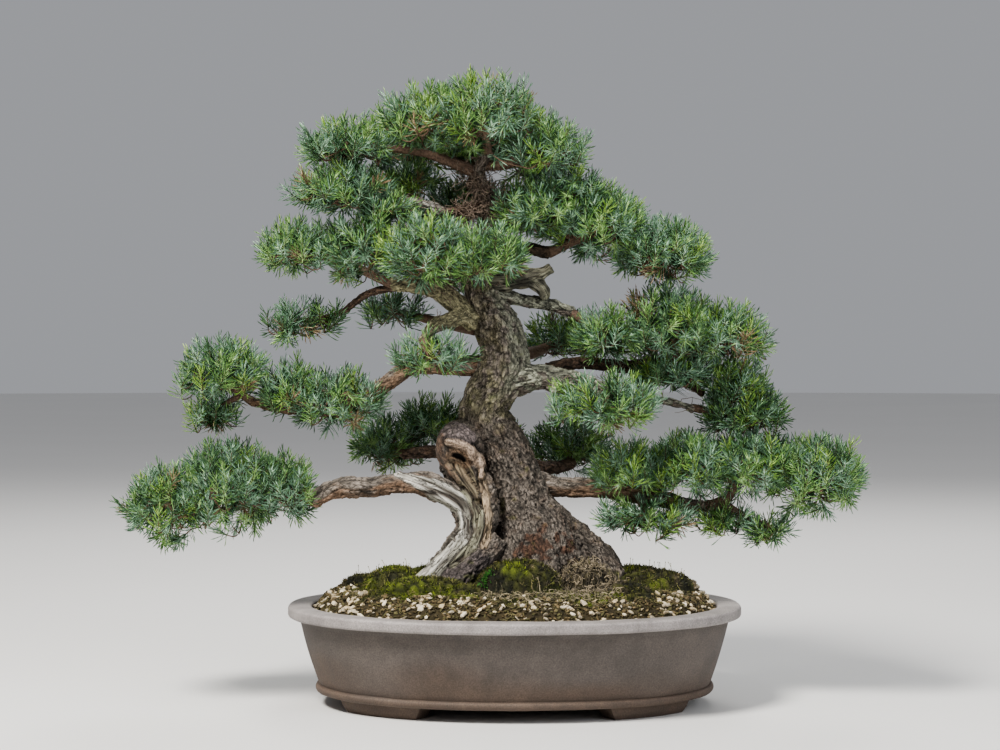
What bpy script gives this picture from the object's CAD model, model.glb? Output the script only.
"""Looks of the needle juniper bonsai: bark, deadwood, needles, moss, grit and stoneware.

Lengths are in millimetres from the middle of the pot, as in the part's source, and turn into metres
of the row's frame where a mesh is made. X runs along the pot, Y to the back and Z up.
"""
import math
from collections import defaultdict, namedtuple
from itertools import product

import bmesh
import bpy
import numpy as np
from mathutils import Matrix, Vector


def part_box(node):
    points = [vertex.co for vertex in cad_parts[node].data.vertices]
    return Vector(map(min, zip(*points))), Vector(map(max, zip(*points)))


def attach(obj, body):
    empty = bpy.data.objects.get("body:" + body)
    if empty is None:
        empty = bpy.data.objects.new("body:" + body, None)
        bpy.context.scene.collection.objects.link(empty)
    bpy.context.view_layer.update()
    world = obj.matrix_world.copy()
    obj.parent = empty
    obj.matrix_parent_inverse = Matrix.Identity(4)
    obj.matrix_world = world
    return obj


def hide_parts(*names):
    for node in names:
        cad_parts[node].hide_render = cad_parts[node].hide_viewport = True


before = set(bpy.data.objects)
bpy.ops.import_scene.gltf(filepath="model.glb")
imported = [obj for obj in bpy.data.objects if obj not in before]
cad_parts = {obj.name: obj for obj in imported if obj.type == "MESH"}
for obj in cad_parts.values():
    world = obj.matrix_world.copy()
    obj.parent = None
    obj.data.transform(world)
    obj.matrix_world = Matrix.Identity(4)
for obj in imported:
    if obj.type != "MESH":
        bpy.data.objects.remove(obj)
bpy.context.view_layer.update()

MM = 0.001
POT_MIDDLE = (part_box("pot")[0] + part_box("pot")[1]) / 2
PLANT_SHIFT = np.array((POT_MIDDLE[0] / MM, POT_MIDDLE[1] / MM, 0.0))
UP = np.array((0.0, 0.0, 1.0))
GOLDEN_ANGLE = math.pi * (3 - math.sqrt(5))

# Camera: its place and focal length give the photograph's view of 1000 by 750 pixels
CAMERA_PLACE = (-14.5, -2361.0, 362.0)
CAMERA_LENS = 85.0
CAMERA_SENSOR = 36.0
CAMERA_PITCH = math.radians(-0.85)

# Pot: every turn of the wall is an oval, its half-depth shorter than its half-length by OVAL_STEP
POT_SEGMENTS = 256
OVAL_POWER = 2.15
OVAL_STEP = 50.0
RIM_HALF_LENGTH = 226.0
RIM_TOP = 98.5
RIM_UNDER = 87.5
RIM_ROUND = 3.0
RIM_INNER = 202.0
WALL_TOP_HALF_LENGTH = 214.5
WALL_FOOT_HALF_LENGTH = 196.5
BAND_MIDDLE = 17.0
BAND_ROUND = 4.2
BASE_HALF_LENGTH = 190.0
BASE_HEIGHT = 12.0
FLOOR_HEIGHT = 23.0
FLOOR_HALF_LENGTH = 176.0
DRAIN_RADIUS = 13.0
DRAIN_OFFSET = 85.0
FOOT_FROM = math.radians(27)
FOOT_TO = math.radians(63)
FOOT_SLANT = math.radians(2.4)
FOOT_DEPTH = 26.0
FOOT_STEPS = 24

# Soil: a mound from the rim to a flat top, where the trunk stands, with cushions of moss
GROUND = 119.4
SOIL_EDGE = 93.0
SOIL_PROFILE = ((0.0, GROUND), (150.0, GROUND), (172.0, 116.5), (190.0, 107.0), (201.5, SOIL_EDGE))
MOSS_CUSHIONS = (
    (4, -76, 119, 44, 27, 31),
    (70, -52, 120, 27, 30, 25),
    (-118, -20, 117, 32, 34, 21),
    (-88, -68, 118, 44, 22, 14),
    (138, -16, 117, 40, 36, 17),
    (-62, 74, 118, 50, 26, 14),
    (34, 90, 118, 50, 20, 13),
    (122, 48, 118, 34, 28, 14),
    (-150, 8, 112, 26, 26, 15),
    (-42, -86, 116, 28, 16, 11),
    (104, -68, 115, 30, 18, 13),
    (166, 16, 108, 20, 26, 14),
    (-112, 46, 115, 30, 24, 12),
    (-20, 96, 114, 26, 16, 11),
)

# A limb is one or more tubes of (x, y, z, radius) stations
TRUNK_TUBE = (
    (26, 0, 112, 63), (20, 2, 162, 44), (12, 4, 188, 35), (0, 5, 224, 29), (-14, 3, 256, 27.5),
    (-30, -2, 290, 24), (-17, -4, 322, 24.5), (-10, -4, 348, 24), (-18, -1, 376, 22.5),
    (-33, 3, 406, 18.5), (-34, 7, 434, 14.5), (-27, 6, 470, 12), (-30, 1, 502, 10),
    (-37, -8, 526, 7.5), (-26, -14, 549, 5),
)
ROOT_TUBES = (
    ((-22, -16, 196, 12), (-47, -28, 160, 17), (-67, -32, 140, 15), (-103, -43, 111, 10)),
    ((-18, -24, 164, 14), (-40, -40, 142, 14), (-70, -56, 111, 9)),
    ((38, 0, 188, 12), (74, -5, 156, 15), (92, -9, 138, 14), (104, -12, 110, 12)),
    ((22, -24, 168, 14), (30, -44, 142, 17), (36, -68, 110, 9)),
    ((11, 30, 152, 18), (-14, 68, 110, 8)),
    ((46, 28, 152, 16), (84, 64, 110, 8)),
)
SHARI_TUBE = ((-42, -26, 240, 9), (-27, -29, 212, 9), (-28, -30, 184, 11), (-40, -35, 150, 9))
WEB_TUBE = ((-62, -16, 242, 13), (-52, -22, 222, 13), (-38, -24, 202, 13))
ELBOW_TUBE = ((-66, -24, 208, 8.5), (-53, -27, 195, 9), (-47.5, -29, 183, 9.5), (-49, -31, 171, 9.5),
              (-57, -34, 160, 10))
KNOT = (-54, -14, 256)
KNOT_RADII = (23.4, 26, 26)

Limb = namedtuple("Limb", "name kind sides tubes")
LIMBS = (
    Limb("bough_left_low", "peeling", 8, (
        ((-36, -22, 188, 15), (-59, -26, 206, 12.5), (-84, -26, 217, 11.5), (-113, -24, 220, 10.5),
         (-143, -22, 216, 9.5), (-175, -20, 215, 10), (-201, -17, 203, 8.5)),
        ((-59, -30, 212, 7), (-84, -32, 225, 6), (-116, -30, 231, 2.5)),
    )),
    Limb("bough_left_mid", "peeling", 7, (
        ((-35, 4, 336, 12), (-68, 9, 336, 9.5), (-102, 8, 335, 8.5), (-123, 6, 322, 8),
         (-155, 2, 303, 7), (-186, 0, 294, 6), (-224, 0, 294, 5.5), (-264, 0, 300, 4.5)),
        ((-163, 2, 300, 5), (-168, 3, 308, 4.4)),
    )),
    Limb("bough_crown_left", "olive", 7, (
        ((-38, -4, 380, 12), (-57, -10, 397, 10), (-74, -14, 411, 9.5), (-99, -16, 416, 8),
         (-122, -18, 417, 6)),
    )),
    Limb("branch_left_front", "olive", 6, (
        ((-42, -6, 388, 10), (-67, -22, 381, 8), (-83, -32, 372, 6.5), (-89, -40, 360, 5.5)),
    )),
    Limb("branch_left_upper", "brown", 5, (
        ((-114, -16, 416, 4.5), (-146, -8, 408, 3.6), (-169, 1, 392, 3.2)),
    )),
    Limb("bough_right_upper", "lichen", 6, (
        ((-23, 2, 412, 9), (-9, 4, 406, 7.5), (13, 8, 401, 6.5), (36, 8, 397, 6.5),
         (58, 6, 389, 5.5)),
    )),
    Limb("jin_right", "dead", 6, (
        ((-22, -2, 418, 9), (2, -6, 421, 9), (14, -8, 424, 8.5), (28, -8, 429, 6), (37, -8, 434, 5.5)),
        ((16, -8, 422, 7.5), (25, -7, 416, 6.5), (29, -4, 410, 6.5), (30, -1, 404, 5)),
    )),
    Limb("bough_right_mid", "lichen", 8, (
        ((0, -4, 322, 17), (25, -10, 326, 13), (47, -14, 322, 11), (70, -16, 317, 9),
         (95, -12, 310, 7.5), (125, -4, 304, 6), (151, 4, 300, 5), (180, 10, 294, 4.2)),
        ((45, -22, 318, 7), (43, -28, 309, 5.5)),
        ((83, -14, 313, 5), (88, -26, 308, 4.2)),
    )),
    Limb("branch_right_upper", "brown", 6, (
        ((33, -4, 332, 7), (64, 6, 339, 6.5), (91, 6, 337, 6), (116, 5, 335, 6.5),
         (138, 4, 340, 5)),
        ((116, 7, 333, 4.8), (148, 14, 326, 4), (177, 20, 316, 3.6), (191, 23, 307, 3.2)),
    )),
    Limb("bough_right_low", "peeling", 8, (
        ((24, 4, 218, 13), (46, 2, 215, 10.5), (76, 0, 214, 9.5), (105, -2, 211, 9),
         (135, -4, 206, 8.5), (165, -6, 198, 8), (188, -6, 193, 7)),
        ((105, -2, 211, 5.5), (114, 0, 224, 4.5)),
        ((125, -6, 206, 5), (127, -18, 197, 4)),
    )),
    Limb("bough_back_left", "brown", 6, (
        ((-35, 16, 251, 9), (-81, 60, 248, 6.5), (-114, 92, 243, 5)),
    )),
    Limb("bough_back_right", "brown", 6, (
        ((14, 16, 231, 9), (45, 60, 232, 6.5), (60, 78, 234, 5.5)),
    )),
    Limb("bough_back_low", "brown", 6, (
        ((-14, 20, 261, 10), (-23, 75, 265, 7), (-30, 114, 259, 5.5)),
    )),
    Limb("bough_crown_right", "brown", 6, (
        ((-27, 8, 464, 8), (1, 12, 457, 7), (36, 13, 449, 6)),
    )),
    Limb("bough_crown_left_upper", "silvered", 6, (
        ((-28, 0, 498, 7), (-50, -8, 491, 6), (-69, -10, 489, 5.5), (-89, -8, 497, 5),
         (-115, -4, 500, 4.5)),
    )),
)

# A mass is lobes of (x, y, z, half-length, half-depth, height up, height down) round its stems
Mass = namedtuple("Mass", "name piece dense stems lobes")
MASSES = (
    Mass("mass_apex", "apex", True, (
        ((-26, -14, 546, 4.8), (-30, -12, 569, 3.5)),
        ((-29, -12, 563, 3.2), (-82, -8, 573, 2.8)),
    ), ((-82, -8, 577, 54, 58, 36, 24), (-32, -12, 574, 58, 66, 50, 32))),
    Mass("mass_apex_right", "apex", True, (
        ((-33, -8, 535, 5.5), (-5, -12, 537, 4.5), (30, -8, 553, 3)),
    ), ((24, -6, 550, 46, 54, 36, 26),)),
    Mass("mass_apex_back", "apex", True, (
        ((-36, -6, 524, 7), (-41, 40, 535, 5), (-77, 84, 554, 3.5)),
        ((-41, 40, 535, 4), (-9, 86, 554, 3)),
        ((-40, 38, 534, 4), (-52, 72, 508, 3)),
    ), ((-87, 88, 559, 56, 44, 42, 26), (-9, 92, 559, 56, 46, 44, 34),
        (-48, 80, 501, 54, 44, 24, 24))),
    Mass("mass_crown_left_top", "crown", True, (
        ((-37, -8, 527, 6), (-64, -8, 539, 5), (-99, -2, 550, 4), (-165, 6, 557, 3)),
    ), ((-163, 6, 556, 48, 58, 26, 22),)),
    Mass("mass_crown_left", "crown", True, (
        ((-113, -4, 500, 4.2), (-143, 2, 504, 3.6), (-170, 4, 510, 3)),
        ((-140, 2, 504, 3.2), (-111, 44, 519, 2.6)),
    ), ((-170, 0, 511, 50, 58, 26, 21), (-112, 52, 523, 38, 34, 20, 18),
        (-126, -8, 492, 32, 44, 18, 14))),
    Mass("mass_skirt_left", "crown", True, (
        ((-120, -18, 417, 5.6), (-151, -18, 431, 4.6), (-183, -16, 443, 4), (-213, -14, 451, 3)),
    ), ((-213, -10, 451, 40, 54, 28, 24), (-151, -12, 449, 44, 60, 34, 28))),
    Mass("mass_skirt_front", "crown", True, (
        ((-32, 6, 440, 8), (-44, -30, 433, 6), (-73, -60, 438, 4)),
        ((-44, -30, 433, 5), (-28, -58, 438, 3.5)),
    ), ((-83, -62, 446, 46, 44, 38, 36), (-28, -60, 444, 40, 42, 30, 28))),
    Mass("mass_shoulder_right", "shoulder", True, (
        ((34, 13, 449, 5.8), (61, 8, 462, 5), (86, 4, 470, 4.5), (126, 2, 457, 3.8),
         (150, 0, 452, 3)),
        ((61, 8, 462, 4), (30, 0, 480, 3)),
        ((74, 6, 467, 3.6), (58, 2, 506, 2.8)),
    ), ((25, -4, 490, 44, 58, 32, 26), (84, 0, 476, 48, 64, 36, 34),
        (148, 0, 448, 46, 62, 34, 34), (54, 2, 511, 38, 46, 20, 22))),
    Mass("mass_shoulder_back", "shoulder", True, (
        ((-26, 8, 476, 7), (6, 45, 478, 5.5), (69, 98, 483, 3)),
    ), ((69, 98, 485, 62, 44, 34, 30),)),
    Mass("mass_right_upper_in", "right", True, (
        ((56, 6, 390, 5.2), (76, 0, 377, 4.2), (93, -8, 368, 3)),
    ), ((93, -8, 366, 36, 44, 28, 24),)),
    Mass("mass_right_upper", "right", True, (
        ((136, 4, 339, 4.8), (166, 2, 345, 4.4), (192, 0, 350, 3.8), (210, 0, 366, 3)),
        ((148, 3, 342, 4), (155, -4, 367, 3)),
    ), ((155, 0, 374, 48, 66, 40, 30), (207, 0, 366, 44, 62, 30, 30),
        (158, 6, 332, 42, 44, 14, 15))),
    Mass("mass_right_mid", "right", True, (
        ((178, 10, 294, 4.1), (207, 18, 289, 3.8), (233, 24, 287, 3)),
        ((209, 18, 290, 3.4), (224, 22, 312, 2.8)),
    ), ((224, 22, 316, 32, 48, 26, 24), (232, 24, 289, 40, 56, 26, 26))),
    Mass("mass_right_front", "right", True, (
        ((88, -25, 308, 4), (90, -42, 301, 3.4), (89, -58, 299, 2.8)),
    ), ((89, -58, 299, 54, 34, 28, 26),)),
    Mass("mass_right_low_in", "right_low", True, (
        ((113, 0, 223, 4.3), (120, 0, 232, 3.8), (178, 6, 236, 3)),
    ), ((118, 0, 230, 40, 60, 28, 26), (178, 6, 234, 42, 70, 33, 30))),
    Mass("mass_right_low", "right_low", True, (
        ((186, -6, 194, 6.8), (210, -2, 202, 5.8), (236, 5, 232, 4), (298, 0, 228, 3)),
        ((207, -4, 199, 4.5), (232, -10, 185, 3.6), (256, -14, 175, 2.6)),
    ), ((236, 6, 236, 44, 76, 34, 34), (298, 0, 226, 48, 72, 38, 44),
        (250, -14, 176, 28, 18, 10, 16), (206, -8, 184, 32, 26, 12, 14))),
    Mass("mass_right_low_under", "right_low", True, (
        ((127, -17, 198, 3.8), (130, -26, 190, 3)),
    ), ((129, -26, 189, 46, 30, 16, 20),)),
    Mass("mass_left_low", "left", True, (
        ((-199, -17, 204, 8.2), (-230, -14, 209, 6.5), (-283, -16, 213, 5), (-337, -14, 203, 3)),
    ), ((-337, -10, 198, 50, 66, 38, 40), (-283, -10, 213, 50, 78, 46, 44),
        (-233, -10, 211, 34, 60, 32, 30))),
    Mass("mass_left_mid_tip", "left", True, (
        ((-262, 0, 300, 4.4), (-276, 0, 310, 3.8), (-290, 0, 324, 3)),
        ((-274, 0, 307, 3.2), (-299, 2, 292, 2.6)),
    ), ((-290, 0, 328, 42, 54, 34, 26), (-301, 2, 290, 26, 28, 14, 18))),
    Mass("mass_left_mid", "left", True, (
        ((-167, 3, 306, 4.2), (-183, 4, 308, 3.6), (-225, 2, 314, 2.8)),
    ), ((-225, 2, 310, 28, 40, 30, 20), (-178, 4, 300, 48, 52, 30, 32))),
    Mass("mass_left_upper", "left", False, (
        ((-166, 0, 393, 3), (-187, 4, 385, 2.8), (-227, 4, 380, 2.2)),
    ), ((-223, 4, 380, 28, 26, 20, 26), (-190, 4, 386, 24, 18, 15, 14))),
    Mass("mass_under_crown", "left", False, (
        ((-39, 4, 373, 7), (-66, 25, 378, 5.5), (-96, 35, 385, 4.2), (-124, 36, 392, 3)),
    ), ((-124, 36, 394, 34, 30, 18, 17),)),
    Mass("mass_left_front", "left", False, (
        ((-89, -39, 361, 5.3), (-86, -50, 352, 4.2), (-83, -56, 348, 3)),
    ), ((-83, -56, 348, 38, 32, 22, 20),)),
    Mass("mass_back_left", "back", True, (
        ((-112, 90, 243, 4.8), (-130, 124, 248, 3.4)),
        ((-122, 110, 246, 3.4), (-86, 120, 270, 2.8)),
    ), ((-130, 126, 250, 40, 42, 32, 28), (-86, 122, 274, 34, 38, 26, 22))),
    Mass("mass_back_right", "back", True, (
        ((59, 76, 234, 5.3), (59, 114, 245, 3.2)),
    ), ((59, 116, 247, 42, 44, 34, 32),)),
    Mass("mass_back_right_upper", "back", True, (
        ((-2, 12, 346, 8), (22, 50, 350, 6), (46, 92, 360, 4)),
    ), ((48, 94, 362, 38, 36, 28, 22),)),
    Mass("mass_back_low", "back", True, (
        ((-30, 112, 259, 5.3), (-28, 144, 251, 3.2)),
    ), ((-28, 142, 250, 38, 32, 30, 30),)),
    Mass("mass_back_mid", "back", True, (
        ((-31, 12, 402, 8), (-43, 50, 419, 6.5), (-60, 106, 435, 4)),
    ), ((-62, 110, 437, 54, 48, 34, 30),)),
)

# Twigs and shoots: a shoot ends just inside its lobe's surface, and twigs join it to the stems
SHOOT_AREA = 300.0
INNER_SHARE = 0.35
LEADER_SHARE = 0.14
LEADER_REACH = (0.05, 0.15)
LUMP_DEPTH = 0.09
SPARSE_SHOOT_AREA = 420.0
SHOOT_LENGTH = (13.0, 24.0)
SHOOT_INSET = 0.5
SHOOT_DROP = 2.0
SHOOT_LIFT = 0.18
SHOOT_RADII = (0.62, 0.52, 0.3)
OUTER_REACH = (0.95, 1.04)
INNER_REACH = (0.55, 0.8)
OUTER_DEPTH = 0.78
INNER_DEPTH = 0.4
RISE = 0.62
CURVE_STEPS = 8
TWIG_STATIONS = 5
TWIG_RADIUS = 0.55
TWIG_GROWTH = 0.34
WHORL_STEP = 1.65
NEEDLES_IN_WHORL = 3
NEEDLE_LENGTH = 15.5
NEEDLE_WIDTH = 0.84
INNER_WIDTH = 1.3
UNDER_LEFT_OUT = 0.45
UNDER_BARE = 0.5
BARE_REACH = 0.78
NEEDLE_BASE_ANGLE = 62.0
NEEDLE_TIP_ANGLE = 24.0
NEEDLE_BEND = 0.78
OTHER_COLOUR_SHARE = 0.25

# Needle colours: under side, then the silvery upper side
NEEDLE_COLOURS = (
    ("blue", (0.112, 0.205, 0.132), (0.360, 0.520, 0.380)),
    ("green", (0.125, 0.245, 0.066), (0.370, 0.540, 0.225)),
    ("deep", (0.038, 0.090, 0.036), (0.165, 0.290, 0.140)),
    ("fresh", (0.170, 0.300, 0.052), (0.400, 0.550, 0.170)),
    ("dry", (0.220, 0.150, 0.085), (0.350, 0.275, 0.170)),
)
NEEDLE_SHARES = (0.34, 0.34, 0.16, 0.12, 0.04)
INNER_SHARES = (0.12, 0.14, 0.68, 0.0, 0.06)

# Colour shares of a mass that differ from the rest: (piece, colour's number, factor)
MASS_COLOURS = (
    ("left", 0, 2.0),
    ("left", 2, 2.2),
    ("left", 3, 0.6),
    ("right_low", 0, 1.6),
    ("back", 2, 1.8),
)

# A needle's faces: the flat upper side, then the keel's two sides; an inner one has the keel only
NEEDLE_FACES = ((0, 1, 4), (0, 4, 3), (3, 4, 5), (0, 3, 2), (1, 2, 4), (2, 3, 5), (2, 5, 4))
UPPER_FACES = (1, 1, 1, 0, 0, 0, 0)
INNER_FACES = ((0, 1, 3), (0, 3, 2), (1, 2, 3))

# Old twigs without needles, as the photo shows them: (x, y, z, spread, how many, length)
DEAD_TWIGS = (
    (-40, -16, 500, 12, 130, 26),
    (-36, -14, 520, 10, 90, 22),
    (-22, -12, 486, 12, 80, 26),
    (30, -26, 534, 14, 60, 22),
    (-60, -34, 424, 16, 110, 20),
    (-34, -30, 424, 10, 60, 18),
    (110, -12, 338, 22, 120, 24),
    (150, -10, 330, 18, 70, 22),
    (-112, -20, 490, 14, 60, 20),
    (200, -14, 190, 22, 80, 22),
)

# Bare wood as the front shows it: stations of (x, z, half-width)
DEAD_STREAMS = (
    ((-117, 230, 2.5), (-104, 226, 5), (-90, 220, 8.5), (-72, 211, 10.5), (-59, 203, 10.5),
     (-51, 194, 8.5), (-48.5, 184, 8), (-50, 172, 7.8), (-56, 163, 8.5), (-65, 152, 9),
     (-76, 141, 9), (-85, 132, 9.5), (-98, 122, 8.5), (-110, 112, 7)),
    ((-50, 218, 5), (-42, 206, 5.5), (-37, 194, 5), (-35.5, 184, 5), (-37, 172, 5.2),
     (-41, 162, 5.5), (-51, 152, 5), (-63, 142, 4)),
    ((-33, 232, 4), (-32, 217, 5), (-28, 203, 4.2), (-25.5, 186, 3.6), (-27, 172, 4.6),
     (-31, 161, 4)),
    ((-58, 238, 10), (-51, 227, 10), (-43, 215, 8), (-38, 204, 4.5), (-36, 192, 2)),
)
STREAM_COLOURS = ("bleached", "greenish", "cream", "web")
STREAM_STREAKS = ("weathered", "weathered", "aged", "aged")

# The knot, as the front shows it: its lip, the roll on its left, and its hollow
KNOT_LIP = ((-66, 260.5, 2.4), (-58, 259.5, 3.8), (-48.5, 256, 4.6), (-40, 248.5, 5.2), (-35, 240, 4.8),
            (-33, 233, 3.2), (-32.5, 227, 2.0))
KNOT_ROLL = ((-70, 266, 3), (-75, 257, 3.8), (-72.5, 245, 4.2), (-64, 233, 4), (-56, 224, 3))
KNOT_HOLLOW = ((-60, 248, 1.6), (-55, 246, 2.8), (-49.5, 243, 1.8))
KNOT_CAP = ((-66, 268, 7), (-56, 270, 9.5), (-46, 265, 7))

BARK = {
    "light": (0.330, 0.282, 0.238),
    "dark": (0.022, 0.017, 0.012),
    "olive": (0.300, 0.275, 0.165),
    "rust": (0.175, 0.070, 0.032),
    "mauve": (0.215, 0.175, 0.170),
    "peeled": (0.320, 0.200, 0.125),
    "brown": (0.200, 0.125, 0.085),
    "lichen": (0.520, 0.530, 0.410),
    "bleached": (0.680, 0.660, 0.590),
    "weathered": (0.300, 0.295, 0.230),
    "greenish": (0.430, 0.420, 0.300),
    "cream": (0.500, 0.390, 0.265),
    "aged": (0.290, 0.190, 0.120),
    "pale": (0.560, 0.430, 0.330),
    "web": (0.360, 0.310, 0.205),
    "crack": (0.040, 0.028, 0.020),
}
BARK = {name: np.array(colour) for name, colour in BARK.items()}

# Limbs: steps along a curve, points measured at once, the trunk's cut and a shoot's clearance
SPACE_STEPS = 12
TUBE_STEPS = 10
POINTS_AT_ONCE = 8192
TRUNK_CUT = 112.0
WOOD_CLEARANCE = 1.5

# Moss, grit and dry strands
MOSS_REACH = 178.0
MOUND_EDGE = 201.0
MOUND_ROUNDNESS = 0.66
MOSS_LEAVES = 16000
TUFT_PLACE = (-28, -91, 0)
TUFT_LEAVES = 90
STALKS = 90
STALK_RADII = (0.32, 0.30, 0.27, 0.24, 0.2, 0.55)
STRAND_STEPS = 6
GRIT_GRAINS = 4200
PALE_SHARE = 0.15
CREAMS = ((0.66, 0.57, 0.41), (0.52, 0.42, 0.27), (0.42, 0.36, 0.26), (0.72, 0.64, 0.50))
BROWNS = ((0.115, 0.084, 0.040), (0.060, 0.048, 0.022), (0.20, 0.150, 0.075), (0.115, 0.104, 0.042))
MOSS = {
    "bright": (0.095, 0.118, 0.012),
    "olive": (0.056, 0.058, 0.013),
    "dark": (0.020, 0.021, 0.007),
    "straw": (0.110, 0.085, 0.050),
    "tuft": (0.055, 0.18, 0.032),
    "stalk": (0.20, 0.19, 0.06),
    "earth": (0.060, 0.046, 0.020),
    "foot": (0.085, 0.10, 0.02),
}
MOSS = {name: np.array(colour) for name, colour in MOSS.items()}

# Stage: lights of (name, place, height aimed at, size, power, colour), in metres and watts
LIGHTS = (
    ("key", (-1.1, -1.5, 2.4), 0.3, 0.9, 122, (1.0, 0.97, 0.92)),
    ("fill", (2.0, -1.8, 1.2), 0.3, 1.6, 27, (0.93, 0.96, 1.0)),
    ("back", (0.4, 2.2, 2.2), 0.35, 1.4, 30, (1.0, 0.99, 0.97)),
)
WORLD_COLOUR = (0.93, 0.95, 1.0, 1.0)
WORLD_STRENGTH = 0.34
FLOOR_RADIUS = 14.0
FLOOR_COLOURS = ((0.78, 0.77, 0.75), (0.82, 0.81, 0.79))


# Numbers and meshes

def unit(vectors):
    return vectors / (np.linalg.norm(vectors, axis=-1, keepdims=True) + 1e-12)


def ramp(values, low, high):
    """0 below low, 1 above high, and a smooth step between."""
    share = np.clip((values - low) / (high - low), 0.0, 1.0)
    return share * share * (3 - 2 * share)


def bell(values, width):
    """1 where a value is 0, falling to 0 on both sides."""
    return np.exp(-(values / width) ** 2)


def mixed(first, second, share):
    return first + (second - first) * share[:, None]


def how_far_out(points, middle, radii):
    """0 in the middle of an ellipsoid and 1 on it."""
    return np.linalg.norm((points - np.array(middle)) / np.array(radii), axis=1)


def hashed(cells, seed):
    """A repeatable random number from 0 to 1 for each whole-number cell."""
    mixed = cells[..., 0] * 73856093 ^ cells[..., 1] * 19349663 ^ cells[..., 2] * 83492791
    mixed = (mixed + seed * 7919) & 0xFFFFFFFF
    mixed = (mixed ^ (mixed >> 15)) * 2246822519 & 0xFFFFFFFF
    mixed = (mixed ^ (mixed >> 13)) * 3266489917 & 0xFFFFFFFF
    return ((mixed ^ (mixed >> 16)) & 0xFFFFFF) / 0xFFFFFF


def noise(points, seed=0):
    """Smooth noise from -1 to 1, one cell to a unit."""
    cells = np.floor(points).astype(np.int64)
    part = points - cells
    ease = part * part * (3 - 2 * part)
    total = np.zeros(points.shape[:-1])
    for corner in product((0, 1), repeat=3):
        weight = np.prod(np.where(np.array(corner) == 1, ease, 1 - ease), axis=-1)
        total += weight * hashed(cells + np.array(corner), seed)
    return 2 * total - 1


def cells_of(points, seed=0):
    """Cellular pattern: how deep inside its cell a point is, its cell's random number, and the
    way from the cell's middle to the point."""
    base = np.floor(points).astype(np.int64)
    nearest = np.full(len(points), 9.0)
    second = np.full(len(points), 9.0)
    number = np.zeros(len(points))
    away = np.zeros_like(points)
    for offset in product((-1, 0, 1), repeat=3):
        cell = base + np.array(offset)
        middle = cell + np.stack([hashed(cell, seed + axis) for axis in (1, 2, 3)], axis=-1)
        reach = points - middle
        distance = np.linalg.norm(reach, axis=-1)
        closer = distance < nearest
        second = np.where(closer, nearest, np.minimum(second, distance))
        nearest = np.where(closer, distance, nearest)
        number = np.where(closer, hashed(cell, seed + 4), number)
        away = np.where(closer[:, None], reach, away)
    return second - nearest, number, away


def noise_vectors(points, seed):
    return np.stack([noise(points, seed + axis) for axis in range(3)], axis=-1)


def grain_noise(local, across, along, seed):
    """Noise drawn out along a limb."""
    return noise(local / np.array((across, across, along)), seed)


def new_piece(name, vertices, triangles, materials, slots=None, smooth=True):
    """A piece of the object from arrays in millimetres, riding on the one body."""
    mesh = bpy.data.meshes.new(name)
    mesh.vertices.add(len(vertices))
    mesh.loops.add(3 * len(triangles))
    mesh.polygons.add(len(triangles))
    places = (np.asarray(vertices) + PLANT_SHIFT) * MM
    mesh.vertices.foreach_set("co", places.astype(np.float32).ravel())
    mesh.loops.foreach_set("vertex_index", np.asarray(triangles, dtype=np.int32).ravel())
    mesh.polygons.foreach_set("loop_start", np.arange(len(triangles), dtype=np.int32) * 3)
    for material in materials:
        mesh.materials.append(material)
    if slots is not None:
        mesh.polygons.foreach_set("material_index", np.asarray(slots, dtype=np.int32))
    mesh.update(calc_edges=True)
    if smooth:
        mesh.shade_smooth()
    else:
        mesh.shade_flat()
    item = bpy.data.objects.new(name, mesh)
    bpy.context.scene.collection.objects.link(item)
    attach(item, "root")
    return item


def give_colours(item, colours, bare=0.0):
    """Stores one colour for each vertex under the name that the materials read, and in its alpha
    how much bark covers the wood."""
    attribute = item.data.attributes.new("tint", "FLOAT_COLOR", "POINT")
    rows = np.ones((len(colours), 4), dtype=np.float32)
    rows[:, :3] = colours
    rows[:, 3] -= bare
    attribute.data.foreach_set("color", rows.ravel())


def give_vectors(item, name, vectors):
    attribute = item.data.attributes.new(name, "FLOAT_VECTOR", "POINT")
    attribute.data.foreach_set("vector", np.asarray(vectors, dtype=np.float32).ravel())


def smooth_curve(stations, steps):
    """Rows of (x, y, z, radius) on a smooth curve through the stations."""
    points = np.array(stations, dtype=float)
    before = 2 * points[0] - points[1]
    after = 2 * points[-1] - points[-2]
    padded = np.vstack([before, points, after])
    rows = []
    for index in range(len(points) - 1):
        p0, p1, p2, p3 = padded[index:index + 4]
        for step in range(steps):
            t = step / steps
            cubic = (3 * p1 - p0 - 3 * p2 + p3) * t ** 3
            square = (2 * p0 - 5 * p1 + 4 * p2 - p3) * t ** 2
            rows.append(0.5 * (2 * p1 + (p2 - p0) * t + square + cubic))
    rows.append(points[-1])
    return np.array(rows)


def wall_faces(index):
    """Triangles between rings of vertices, from vertex numbers of shape (..., rings, sides)."""
    beside = np.roll(index, -1, axis=-1)
    low, high = index[..., :-1, :], index[..., 1:, :]
    low_beside, high_beside = beside[..., :-1, :], beside[..., 1:, :]
    return np.concatenate([
        np.stack((low, low_beside, high_beside), axis=-1).reshape(-1, 3),
        np.stack((low, high_beside, high), axis=-1).reshape(-1, 3),
    ])


def lofted_faces(rings, sides):
    """Triangles of a closed solid: its rings of vertices, then one vertex in each end."""
    index = np.arange(rings * sides).reshape(rings, sides)
    beside = np.roll(index, -1, axis=1)
    ends = [np.full(sides, rings * sides + end) for end in (0, 1)]
    return np.concatenate([
        wall_faces(index),
        np.stack((beside[0], index[0], ends[0]), axis=-1),
        np.stack((index[-1], beside[-1], ends[1]), axis=-1),
    ])


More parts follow.
